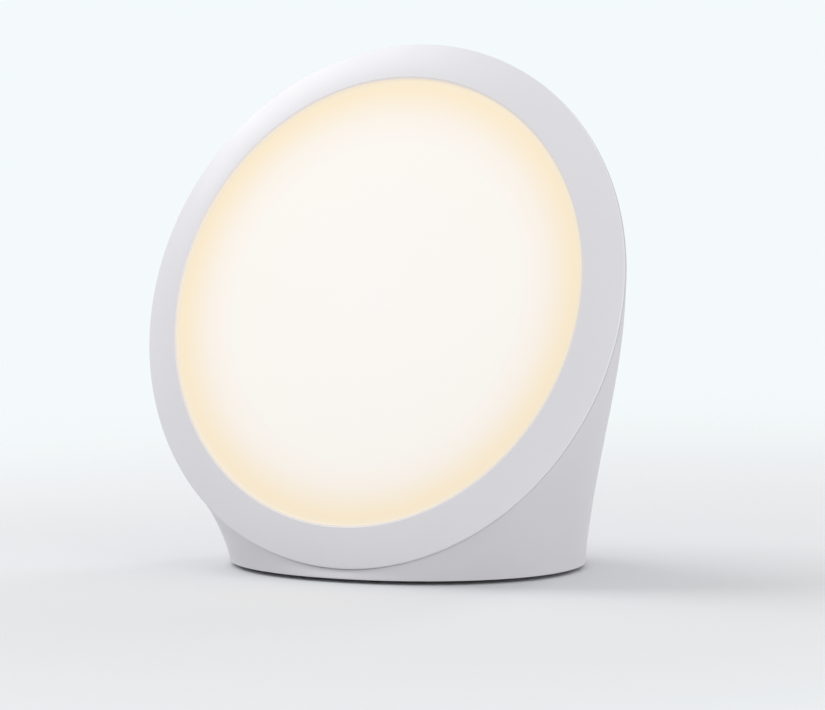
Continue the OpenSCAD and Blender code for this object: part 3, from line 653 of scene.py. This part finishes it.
def opal_material():
    """Frosted opal plastic lit from behind: pale itself, with a glow that warms at its edge, and
    a painted highlight that brightens the glow towards the top.
    """
    material, tree, shader = node_material("opal_lit")
    place, radius = head_place(tree)
    # Painted highlight: the glow grows brighter towards the top, where the key lamp falls
    strength = slanted(tree, place, GLOW_LIT_SIDE, 1.0, GLOW_PAINTED_LIFT)
    tree.links.new(strength, shader.inputs["Emission Strength"])
    colour = by_radius(tree, radius, GLOW, 0.0, WINDOW_R)
    tree.links.new(colour, shader.inputs["Emission Color"])
    shader.inputs["Base Color"].default_value = OPAL_BASE
    shader.inputs["Roughness"].default_value = 0.42
    shader.inputs["Specular IOR Level"].default_value = 0.25
    bump(tree, shader, noise(tree, scale=3200, detail=2.0), distance=0.00001, strength=0.25)
    return material


# Painted light on the lip round the window: a painted warm shade, and a painted glow of the
# window's light on it, which gets brighter in one direction
LIP_FULL, LIP_OUT = WINDOW_R + 0.2, WINDOW_R + 1.0
LIP_SHADE = (0.98, 0.92, 0.86)
LIP_PAINTED_GLOW = (0.22, 0.19, 0.15)
LIP_LIT_SIDE, LIP_MIDDLE, LIP_RISE = (-1, 0.6), 0.64, 0.42


def bezel_material(colour):
    """The housing's plastic, with painted light on its thin inner lip: a painted warm shade and a
    painted glow from the lit window.
    """
    material = plastic("bezel_satin", colour, 0.36, grain=0.00001)
    tree = material.node_tree
    shader = tree.nodes["Principled BSDF"]
    place, radius = head_place(tree)

    def lip(on_lip, beyond):
        """A colour on the lip that turns into another beyond it."""
        stops = ((WINDOW_R, on_lip), (LIP_FULL, on_lip), (LIP_OUT, beyond))
        return by_radius(tree, radius, stops, WINDOW_R, LIP_OUT)

    # Painted shade: the lip's colour is darkened and warmed
    shaded_lip = tree.nodes.new("ShaderNodeMix")
    shaded_lip.data_type = "RGBA"
    shaded_lip.blend_type = "MULTIPLY"
    shaded_lip.inputs["Factor"].default_value = 1.0
    tree.links.new(shader.inputs["Base Color"].links[0].from_socket, shaded_lip.inputs["A"])
    tree.links.new(lip(LIP_SHADE, (1, 1, 1)), shaded_lip.inputs["B"])
    tree.links.new(shaded_lip.outputs["Result"], shader.inputs["Base Color"])
    # Painted light: the lip glows with the window's light, brighter towards one side
    tree.links.new(lip(LIP_PAINTED_GLOW, (0, 0, 0)), shader.inputs["Emission Color"])
    strength = slanted(tree, place, LIP_LIT_SIDE, LIP_MIDDLE, LIP_RISE)
    tree.links.new(strength, shader.inputs["Emission Strength"])
    return material


# Painted shade: the housing is the bezel's plastic made darker, for its sides that get less light
housing_plastic_shaded = plastic("housing_satin_shaded", srgb(213, 212, 216), 0.42)
bezel_plastic = bezel_material(srgb(226, 225, 229))
opal = opal_material()
panel_plastic = plastic("panel_satin", srgb(194, 193, 198), 0.5, grain=0.00003)
key_plastic = plastic("key_satin", srgb(226, 225, 229), 0.38, grain=0.00001)
base_plastic = plastic(
    "base_textured", srgb(194, 193, 198), 0.6, grain=0.00006, grain_scale=1700)
tray_plastic = plastic("tray_white", srgb(246, 246, 244), 0.55)
black_plastic = plastic("black_moulded", srgb(34, 34, 36), 0.45, grain=0.00003, change=0.05)
display_plastic = plastic("display_grey", srgb(58, 58, 60), 0.5, change=0.04)
sleeve = plastic("capacitor_sleeve", srgb(44, 50, 74), 0.25, change=0.06)
ink = plastic("icon_ink", srgb(104, 105, 110), 0.6, change=0.03)
screw_steel = metal("screw_zinc", (0.56, 0.56, 0.58), 0.32)
cell_steel = metal("cell_nickel", (0.66, 0.66, 0.68), 0.24, stretch=(1, 0.05, 1))
brass = metal("contact_brass", (0.72, 0.55, 0.26), 0.3)
speaker_steel = plastic("speaker_enamel", srgb(60, 60, 63), 0.35, change=0.05)
ferrite = plastic(
    "speaker_ferrite", srgb(82, 82, 84), 0.75, grain=0.00008, grain_scale=1500, change=0.1)
paper = woven("speaker_paper", srgb(40, 40, 43))
foot_rubber = rubber("foot_rubber", srgb(74, 74, 76))
green_board = circuit_board("board_green", srgb(28, 92, 58), copper=(0.75, 0.55, 0.25, 1))
white_board = circuit_board("board_white", srgb(238, 240, 236), copper=(0.8, 0.8, 0.78, 1))
white_lens = lens("led_white", srgb(255, 247, 214), glow=0.8)
amber_lens = lens("led_amber", srgb(255, 196, 110), glow=0.8)
digit_lens = lens("display_digit", srgb(255, 226, 176), glow=0.6)


def dress(material, nodes, bevel=0.0):
    """CAD nodes that stay: their finish, and a small round on their sharp edges."""
    for node in nodes:
        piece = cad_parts[node]
        piece.data.materials.clear()
        piece.data.materials.append(material)
        piece.data.shade_smooth()
        piece.data.set_sharp_from_angle(angle=radians(SHARP))
        if bevel:
            edge = piece.modifiers.new("edge", "BEVEL")
            edge.width = bevel * MM
            edge.segments = 2
            edge.limit_method = "ANGLE"
            edge.angle_limit = radians(40)
            edge.harden_normals = True


dress(tray_plastic, ["light_tray", "display_spacers"])
dress(screw_steel, ["tray_screws", "panel_screws", "board_screws", "snooze_screws",
                    "base_screws"], bevel=0.12)
dress(white_board, ["led_board"])
dress(green_board, ["display_board", "main_board", "snooze_board"])
dress(white_lens, ["white_leds"], bevel=0.15)
dress(amber_lens, ["amber_leds"], bevel=0.15)
dress(display_plastic, ["display_module"], bevel=0.2)
dress(digit_lens, ["display_digits"])
dress(black_plastic, ["key_switches", "board_chips", "snooze_switch"], bevel=0.12)
dress(black_plastic, ["dc_jack"], bevel=0.3)
dress(sleeve, ["capacitors"], bevel=0.4)
dress(brass, ["jack_pin"], bevel=0.3)
dress(brass, ["battery_contact"], bevel=0.08)
dress(panel_plastic, ["speaker_grille"], bevel=0.25)
dress(speaker_steel, ["speaker_frame"], bevel=0.2)
dress(paper, ["speaker_cone"])
dress(ferrite, ["speaker_magnet"], bevel=0.5)
dress(base_plastic, ["base_plate", "battery_cover"], bevel=0.25)
dress(foot_rubber, ["rubber_feet"], bevel=0.25)
dress(cell_steel, ["coin_cell"], bevel=0.15)

# ---- The housing ----


def loft_rings(levels, inset=0.0, land=0.0, stub=0.0):
    return [[skin_point(u, v, inset, land, stub) for u in turns(WALL_STEPS)] for v in levels]


def head_ring(r, z):
    return [head_point(r, u, z) for u in turns(WALL_STEPS)]


def shell_wall():
    """The moulded wall with its foot edge and its rim slightly rounded."""
    foot = []
    for a in quarter(4):
        inset, rise = FOOT_ROUND * (1 - sin(a)), FOOT_ROUND * (1 - cos(a))
        foot.append([foot_point(u, inset, rise) for u in turns(WALL_STEPS)])
    outer = loft_rings([i / OUTER_LEVELS for i in range(1, OUTER_LEVELS)])
    rim = [head_ring(HEAD_R - RIM_ROUND * (1 - cos(a)), -RIM_ROUND * (1 - sin(a)))
           for a in quarter(3)]
    mouth = [head_ring(HEAD_R - RIM_LAND, 0)]
    inward = [1 - i / INNER_LEVELS for i in range(INNER_LEVELS + 1)]
    inner = loft_rings(inward, WALL, RIM_LAND, RIM_STUB)
    rings = foot + outer + rim + mouth + inner
    points, faces = stack(rings, closed_low=False, closed_high=False)
    # The last ring is joined to the first, under the wall
    last = (len(rings) - 1) * WALL_STEPS
    for i in range(WALL_STEPS):
        j = (i + 1) % WALL_STEPS
        faces.append((last + i, last + j, j, i))
    return points, faces


wall_points, wall_faces = shell_wall()
wall_tree = BVHTree.FromPolygons(wall_points, wall_faces)


def skin_height(matrix):
    """The height of the housing's skin over a frame's plane, as a function of x and y."""
    start_z = 30
    inverse = matrix.inverted()
    down = matrix.to_3x3() @ Vector((0, 0, -1))

    def height(x, y):
        hit = wall_tree.ray_cast(matrix @ Vector((x, y, start_z)), down)[0]
        return (inverse @ hit).z
    return height


panel_skin, speaker_skin, snooze_skin = (skin_height(m) for m in (PANEL, SPEAKER, SNOOZE))


def reach(outline, start, direction):
    """A rib or post from a point of the world that ends just inside the wall it meets."""
    place = Matrix.Translation(start) @ direction.to_track_quat("Z", "Y").to_matrix().to_4x4()

    def length(x, y):
        return wall_tree.ray_cast(place @ Vector((x, y, 0)), direction)[3] + ROOTED
    return moved(pad(outline, 0, length), place)


def foot_bosses():
    """The four bosses that hold the base plate, each with a web to the side."""
    middle = (CUP_HIGH + FOOT_BOSS_HIGH) / 2
    parts = []
    for side in (-1, 1):
        for row in (-1, 1):
            x, y = side * FOOT_X, row * FOOT_Y
            boss = shifted(circle(BOSS_R, POST_STEPS), x, y)
            parts.append(pad(boss, CUP_HIGH, FOOT_BOSS_HIGH))
            web = round_box(WEB_T, FOOT_BOSS_HIGH - CUP_HIGH, WEB_CORNER)
            parts.append(reach(web, Vector((x, y, middle)), Vector((side, 0, 0))))
    return parts


def shell_posts():
    """The posts for the panel, the boards and the light tray."""
    posts = []
    for side in (-1, 1):
        boss = shifted(round_box(2 * BOSS_R, 2 * BOSS_R, BOSS_R), side * PANEL_SCREW_X, INLET_Y)
        posts.append(moved(pad(boss, PANEL_BACK - PANEL_BOSS_H, PANEL_BACK, fill=2), PANEL))
        post = shifted(circle(SNOOZE_POST_R, POST_STEPS), side * SNOOZE_POST_X, 0)
        high = above(snooze_skin, -ROOTED)
        posts.append(moved(pad(post, SNOOZE_BOARD_FACE, high, fill=2), SNOOZE))
        for row in (-1, 1):
            x, y = side * BOARD_POST_X, row * BOARD_POST_Y
            post = shifted(circle(BOSS_R, POST_STEPS), x, y)
            high = above(panel_skin, -ROOTED)
            posts.append(moved(pad(post, BOARD_FACE, high, fill=2), PANEL))
    rearwards = HEAD.to_3x3() @ Vector((0, 0, -1))
    for a in TRAY_POST_ANGLES:
        start = head_point(TRAY_POST_R, radians(a), TRAY_BACK)
        posts.append(reach(circle(BOSS_R, POST_STEPS), start, rearwards))
    return posts


def build_shell():
    shell = make("rear_shell_skin", wall_points, wall_faces, body=None)
    seat_w, seat_h = PANEL_W + 2 * SEAT_GAP, PANEL_H + 2 * SEAT_GAP
    block = round_box(PANEL_W + 2 * (SEAT_GAP + POCKET_WALL),
                      PANEL_H + 2 * (SEAT_GAP + POCKET_WALL), PANEL_CORNER + POCKET_WALL)
    collar = pad(circle(COLLAR_R), COLLAR_BACK, above(speaker_skin, -ROOTED))
    shape(shell, "UNION",
          moved(pad(block, LEDGE_BACK, above(panel_skin, -ROOTED)), PANEL),
          moved(collar, SPEAKER))
    pocket = round_box(seat_w, seat_h, PANEL_CORNER)
    grille_seat = circle(GRILLE_R + SEAT_GAP)
    slot = stadium(SNOOZE_W + 2 * SLIDE_GAP, SNOOZE_H + 2 * SLIDE_GAP)
    shape(shell, "DIFFERENCE",
          moved(hole(pocket, PANEL_BACK, panel_skin, MOUTH_ROUND), PANEL),
          moved(hole(grille_seat, GRILLE_BACK, speaker_skin, MOUTH_ROUND), SPEAKER),
          moved(hole(slot, SNOOZE_BOARD_FACE, snooze_skin, SNOOZE_MOUTH_ROUND), SNOOZE))
    inside = round_box(PANEL_W - 2 * LEDGE_W, PANEL_H - 2 * LEDGE_W, PANEL_CORNER - LEDGE_W)
    bore = pad(circle(SOUND_BORE_R), COLLAR_BACK - OVERCUT, GRILLE_BACK + OVERCUT)
    shape(shell, "DIFFERENCE",
          moved(pad(inside, LEDGE_BACK - OVERCUT, PANEL_BACK + OVERCUT), PANEL),
          moved(bore, SPEAKER))
    shape(shell, "UNION", *shell_posts(), *foot_bosses())
    finish_piece(shell, ROOT, housing_plastic_shaded, ("rear_shell",))


build_shell()

# ---- The bezel and the diffuser ----


def build_bezel():
    edge_r, crest_r = HEAD_R - EDGE_ROUND, WINDOW_R + CREST_OUT
    crest_z = BEZEL_RISE - LIP_ROUND
    slope = atan2(crest_z - BEZEL_EDGE, edge_r - crest_r)
    out = Vector((sin(slope), cos(slope)))
    start = Vector((edge_r, BEZEL_EDGE)) + EDGE_ROUND * out
    stop = Vector((crest_r, crest_z)) + LIP_ROUND * out
    face = []
    for i in range(FACE_STEPS + 1):
        t = i / FACE_STEPS
        face.append(start.lerp(stop, t) + 4 * BEZEL_BULGE * t * (1 - t) * out)
    skirt_r = HEAD_R - RIM_LAND - SKIRT_GAP
    spigot_r = WINDOW_R + FLANGE_W + SPIGOT_GAP
    under = BEZEL_EDGE + BEZEL_FLOOR
    profile = [
        (spigot_r, BEZEL_LOW), (spigot_r + BEZEL_WALL, BEZEL_LOW),
        (spigot_r + BEZEL_WALL, under + BEZEL_CLIMB), (skirt_r - BEZEL_WALL, under),
        (skirt_r - BEZEL_WALL, BEZEL_LOW), (skirt_r, BEZEL_LOW), (skirt_r, 0.0),
        (HEAD_R - SEAM_W, 0.0), (HEAD_R - SEAM_W, SEAM_H),
    ]
    # The rounds stop a little before they meet the bulged face
    tilt = degrees(slope)
    profile += arc(HEAD_R - EDGE_BREAK, SEAM_H + EDGE_BREAK, EDGE_BREAK, -90, 0, steps=4)
    profile += arc(edge_r, BEZEL_EDGE, EDGE_ROUND, 0, 76 - tilt, steps=7)
    profile += [(p.x, p.y) for p in face]
    profile += arc(crest_r, crest_z, LIP_ROUND, 100 - tilt, 170, steps=8)
    profile += [(WINDOW_R, crest_z), (WINDOW_R, DIFFUSER_SEAT), (spigot_r, DIFFUSER_SEAT)]
    make("front_bezel_ring", *lathe(profile, BEZEL_STEPS, HEAD), ROOT, "bezel_plastic",
         bezel_plastic, ("front_bezel",), MOULDED_SHARP)


def build_diffuser():
    inner_r = WINDOW_R - SPIGOT_GAP
    flange_r, flange_low = WINDOW_R + FLANGE_W, DIFFUSER_SEAT - FLANGE_T
    edge = DIFFUSER_SEAT - 2 * SEAT_GAP

    def dome(r):
        return edge + DIFFUSER_DOME * (1 - (r / inner_r) ** 2)

    radii = [inner_r * (1 - i / DOME_STEPS) for i in range(DOME_STEPS + 1)]
    front = [(r, dome(r)) for r in radii]
    rear = [(r, z - DIFFUSER_T) for r, z in reversed(front)]
    profile = [(flange_r, flange_low), (flange_r, DIFFUSER_SEAT),
               (WINDOW_R - DIFFUSER_LAP, DIFFUSER_SEAT)]
    profile += front + rear + [(inner_r, flange_low)]
    make("diffuser_lens", *lathe(profile, DIFFUSER_STEPS, HEAD), ROOT, "opal_diffuser",
         opal, ("diffuser",), MOULDED_SHARP)


build_bezel()
build_diffuser()

# ---- The back panel and its keys ----


def key_place(column, row):
    return (column - 0.5) * KEY_COL, KEY_TOP_ROW - row * KEY_ROW


def build_panel():
    outline = round_box(PANEL_W, PANEL_H, PANEL_CORNER - SEAT_GAP)
    body = pad(outline, PANEL_BACK, PANEL_FACE, PANEL_ROUND)
    plate = make("rear_panel_plate", *moved(body, PANEL), body=None)
    deep, seat, clear = PANEL_BACK - OVERCUT, PANEL_FACE - SCREW_HEAD_H, 5.0
    opening = stadium(KEY_W + 2 * SLIDE_GAP, KEY_H + 2 * SLIDE_GAP)
    openings = [shifted(opening, *key_place(column, row))
                for column in (0, 1) for row in (0, 1, 2)]
    openings.append(shifted(circle(INLET_NOSE_R + 2 * SEAT_GAP, INLET_STEPS), 0, INLET_Y))
    cuts = [hole(o, deep, PANEL_FACE, PANEL_MOUTH_ROUND, clear) for o in openings]
    well = [(0, deep), (SHANK_HOLE_R, deep), (SHANK_HOLE_R, seat), (SCREW_HEAD_R, seat),
            (SCREW_HEAD_R, PANEL_FACE - WELL_EDGE), (SCREW_HEAD_R + WELL_EDGE, PANEL_FACE),
            (SCREW_HEAD_R + WELL_EDGE, 0), (0, 0)]
    for side in (-1, 1):
        place = Matrix.Translation((side * PANEL_SCREW_X, INLET_Y, 0))
        cuts.append(lathe(well, WELL_STEPS, place))
    shape(plate, "DIFFERENCE", *(moved(cut, PANEL) for cut in cuts))
    finish_piece(plate, ROOT, panel_plastic, ("rear_panel",))


def plunger(low, high):
    return lathe([(0, low), (PLUNGER_R, low), (PLUNGER_R, high), (0, high)], POST_STEPS)


def build_key(name, column, row, symbol):
    x, y = key_place(column, row)
    cap_top = PANEL_FACE + KEY_PROUD
    place = PANEL @ Matrix.Translation((x, y, 0))
    cap = pad(stadium(KEY_W, KEY_H), KEY_RIM_LOW, cap_top, KEY_ROUND)
    rim = pad(stadium(KEY_W + 2 * KEY_RIM, KEY_H + 2 * KEY_RIM), KEY_RIM_LOW, KEY_RIM_HIGH)
    stem = plunger(KEY_SWITCH_TOP - PLUNGER_DIP, KEY_RIM_LOW + PLUNGER_ROOT)
    piece = make(f"{name}_cap", *moved(cap, place), body=None)
    shape(piece, "UNION", moved(rim, place), moved(stem, place))
    finish_piece(piece, name, key_plastic, (name,))
    print_symbol(f"{name}_symbol", symbol, cap_top, place, name)


def slab(outline, low, high):
    """A flat shape with the given outline of points."""
    return stack([[Vector((x, y, z)) for x, y in outline] for z in (low, high)])


def print_symbol(name, shapes, top, place, body):
    """A printed symbol that stands a hair's breadth over a key."""
    slabs = [slab(outline, top - INK_T, top + INK_T) for outline in shapes]
    make(name, *moved(joined(slabs), place), body=body, slot="key_plastic", material=ink)


def bar(x0, y0, x1, y1, width):
    """The outline of a straight stroke."""
    along = Vector((x1 - x0, y1 - y0)).normalized() * width / 2
    across = Vector((-along.y, along.x))
    return [(x0 + across.x, y0 + across.y), (x0 - across.x, y0 - across.y),
            (x1 - across.x, y1 - across.y), (x1 + across.x, y1 + across.y)]


def band(cx, cy, inner, outer, start, stop):
    """The outline of a round stroke."""
    steps = 20
    return arc(cx, cy, outer, start, stop, steps) + arc(cx, cy, inner, stop, start, steps)


def bell():
    left = [(-1.7, -1.1), (-1.2, -0.6), (-1.1, 0.3)]
    right = [(1.1, 0.3), (1.2, -0.6), (1.7, -1.1)]
    return [left + arc(0, 0.4, 1.1, 175, 5, 14) + right,
            arc(0, -1.55, 0.38, 0, 345, 15), arc(0, 1.75, 0.25, 0, 345, 15)]


def clock_face():
    return [band(0, 0, 1.65, 2.0, 0, 180), band(0, 0, 1.65, 2.0, 180, 360),
            bar(0, -0.15, 0, 1.25, 0.32), bar(0.16, 0, 0.95, 0, 0.32)]


def sun():
    rays = []
    for k in range(8):
        c, s = cos(radians(45 * k)), sin(radians(45 * k))
        rays.append(bar(1.3 * c, 1.3 * s, 2.0 * c, 2.0 * s, 0.3))
    return [arc(0, 0, 0.9, 0, 350, 35)] + rays


def speaker_symbol():
    body = [(-2.0, -0.6), (-1.2, -0.6), (-0.2, -1.5), (-0.2, 1.5), (-1.2, 0.6), (-2.0, 0.6)]
    return [body, band(-0.2, 0, 0.85, 1.15, -42, 42), band(-0.2, 0, 1.65, 1.95, -42, 42)]


def minus():
    return [bar(-1.4, 0, 1.4, 0, 0.42)]


def plus():
    return [bar(-1.4, 0, 1.4, 0, 0.42), bar(0, 0.21, 0, 1.4, 0.42),
            bar(0, -1.4, 0, -0.21, 0.42)]


build_panel()
for name, column, row, symbol in (
    ("alarm_key", 0, 0, bell()),
    ("clock_key", 1, 0, clock_face()),
    ("light_key", 0, 1, sun()),
    ("sound_key", 1, 1, speaker_symbol()),
    ("minus_key", 0, 2, minus()),
    ("plus_key", 1, 2, plus()),
):
    build_key(name, column, row, symbol)

# ---- The snooze key ----


def build_snooze_key():
    top = above(snooze_skin, SNOOZE_PROUD)
    cap = pad(stadium(SNOOZE_W, SNOOZE_H), SNOOZE_RIM_LOW, top, SNOOZE_ROUND, fill=10)
    piece = make("snooze_key_cap", *moved(cap, SNOOZE), body=None)
    rim = stadium(SNOOZE_W + 2 * SNOOZE_RIM, SNOOZE_H + 2 * SNOOZE_RIM)
    parts = [pad(rim, SNOOZE_RIM_LOW, SNOOZE_RIM_HIGH),
             plunger(SNOOZE_SWITCH_TOP - PLUNGER_DIP, SNOOZE_RIM_LOW + PLUNGER_ROOT)]
    for k in (-1, 0, 1):
        ridge = shifted(stadium(RIDGE_W, RIDGE_H), 0, RIDGE_PITCH * k)
        parts.append(pad(ridge, SNOOZE_RIM_HIGH, above(top, RIDGE_RISE), RIDGE_ROUND, fill=4))
    shape(piece, "UNION", *(moved(part, SNOOZE) for part in parts))
    finish_piece(piece, "snooze_key", key_plastic, ("snooze_key",))


build_snooze_key()

# ---- Camera ----

CAMERA_AZIMUTH, CAMERA_ELEVATION, CAMERA_ROLL = radians(30.43), radians(5.5), radians(-1.38)
CAMERA_DISTANCE = 2000.0
FOCAL_PX = 5396.0
FRAME_W, FRAME_H = 825, 710
# A point of the object, and where it lies in the photograph, in pixels
SIGHT_POINT = Vector((0, 1.7, 91.7))
SIGHT_PX = (403.1, 318.8)


def build_camera():
    back = Vector((sin(CAMERA_AZIMUTH) * cos(CAMERA_ELEVATION),
                   -cos(CAMERA_AZIMUTH) * cos(CAMERA_ELEVATION), sin(CAMERA_ELEVATION)))
    horizontal = Vector((cos(CAMERA_AZIMUTH), sin(CAMERA_AZIMUTH), 0))
    right = Matrix.Rotation(CAMERA_ROLL, 3, back) @ horizontal
    up = back.cross(right)
    scale = CAMERA_DISTANCE / FOCAL_PX
    across = right * (FRAME_W / 2 - SIGHT_PX[0]) * scale
    upwards = up * (FRAME_H / 2 - SIGHT_PX[1]) * scale
    aim = SIGHT_POINT + across - upwards
    place = SIGHT_POINT + back * CAMERA_DISTANCE
    data = bpy.data.cameras.new("camera")
    data.sensor_width = 36
    data.lens = FOCAL_PX * data.sensor_width / FRAME_W
    data.clip_start, data.clip_end = 0.05, 50
    camera = bpy.data.objects.new("camera", data)
    bpy.context.collection.objects.link(camera)
    camera.location = place * MM
    away = (place - aim).normalized()
    side = up.cross(away).normalized()
    camera.rotation_euler = Matrix((side, away.cross(side), away)).transposed().to_euler()
    bpy.context.scene.camera = camera


# ---- Light and floor ----

BACKGROUND = srgb(244, 250, 251)
FILL, AMBIENT = srgb(255, 255, 255), 0.72
# The point that the lamps look at, in metres
LAMP_AIM = Vector((0, 0, 0.1))
FLOOR_COLOUR, FLOOR_Z = srgb(222, 223, 225), -0.02
FLOOR_RADII = (200.0, 400.0, 800.0, 1600.0, 3000.0)
# The distances between which the floor fades away, in metres
FADE_START, FADE_END = 0.16, 0.60


def build_world():
    """A plain fill light, behind which the camera sees the background."""
    world = bpy.data.worlds.new("studio")
    bpy.context.scene.world = world
    world.use_nodes = True
    tree = world.node_tree
    tree.nodes.clear()
    seen = tree.nodes.new("ShaderNodeBackground")
    seen.inputs["Color"].default_value = BACKGROUND
    fill = tree.nodes.new("ShaderNodeBackground")
    fill.inputs["Color"].default_value = FILL
    fill.inputs["Strength"].default_value = AMBIENT
    path = tree.nodes.new("ShaderNodeLightPath")
    mix = tree.nodes.new("ShaderNodeMixShader")
    out = tree.nodes.new("ShaderNodeOutputWorld")
    tree.links.new(path.outputs["Is Camera Ray"], mix.inputs["Fac"])
    tree.links.new(fill.outputs[0], mix.inputs[1])
    tree.links.new(seen.outputs[0], mix.inputs[2])
    tree.links.new(mix.outputs[0], out.inputs["Surface"])


def area_light(name, direction, distance, size, power):
    """A soft white light that looks at the middle of the object, with lengths in metres."""
    data = bpy.data.lights.new(name, "AREA")
    data.shape = "RECTANGLE"
    data.size = data.size_y = size
    data.energy = power
    lamp = bpy.data.objects.new(name, data)
    bpy.context.collection.objects.link(lamp)
    to = Vector(direction).normalized()
    lamp.location = LAMP_AIM + to * distance
    lamp.rotation_euler = to.to_track_quat("Z", "Y").to_euler()


def build_floor():
    """A pale floor that fades into the background away from the object."""
    steps = CIRCLE_STEPS
    points = [Vector((r * cos(a), r * sin(a), FLOOR_Z)) for r in FLOOR_RADII
              for a in turns(steps)]
    points.append(Vector((0, 0, FLOOR_Z)))
    middle = len(points) - 1
    faces = [(middle, i, (i + 1) % steps) for i in range(steps)]
    for k in range(len(FLOOR_RADII) - 1):
        near, far = k * steps, (k + 1) * steps
        for i in range(steps):
            j = (i + 1) % steps
            faces.append((near + i, far + i, far + j, near + j))
    material, tree, shader = node_material("floor_pale")
    shader.inputs["Base Color"].default_value = FLOOR_COLOUR
    shader.inputs["Roughness"].default_value = 0.9
    shader.inputs["Specular IOR Level"].default_value = 0.1
    coords = tree.nodes.new("ShaderNodeTexCoord")
    length = tree.nodes.new("ShaderNodeVectorMath")
    length.operation = "LENGTH"
    tree.links.new(coords.outputs["Object"], length.inputs[0])
    fade = tree.nodes.new("ShaderNodeMapRange")
    fade.interpolation_type = "SMOOTHSTEP"
    fade.inputs["From Min"].default_value = FADE_START
    fade.inputs["From Max"].default_value = FADE_END
    tree.links.new(length.outputs["Value"], fade.inputs["Value"])
    clear = tree.nodes.new("ShaderNodeBsdfTransparent")
    mix = tree.nodes.new("ShaderNodeMixShader")
    tree.links.new(fade.outputs["Result"], mix.inputs["Fac"])
    tree.links.new(shader.outputs[0], mix.inputs[1])
    tree.links.new(clear.outputs[0], mix.inputs[2])
    tree.links.new(mix.outputs[0], tree.nodes["Material Output"].inputs["Surface"])
    make("floor", points, faces, body=None, material=material)


build_camera()
build_world()
build_floor()
area_light("key", (-0.7, 0.0, 0.72), distance=1.6, size=1.1, power=12.2)
area_light("side", (0.9, -0.25, 0.15), distance=1.6, size=0.8, power=5.7)
area_light("back", (0.25, 0.75, 0.6), distance=1.4, size=0.5, power=2.2)

bpy.context.scene.view_settings.view_transform = "Standard"
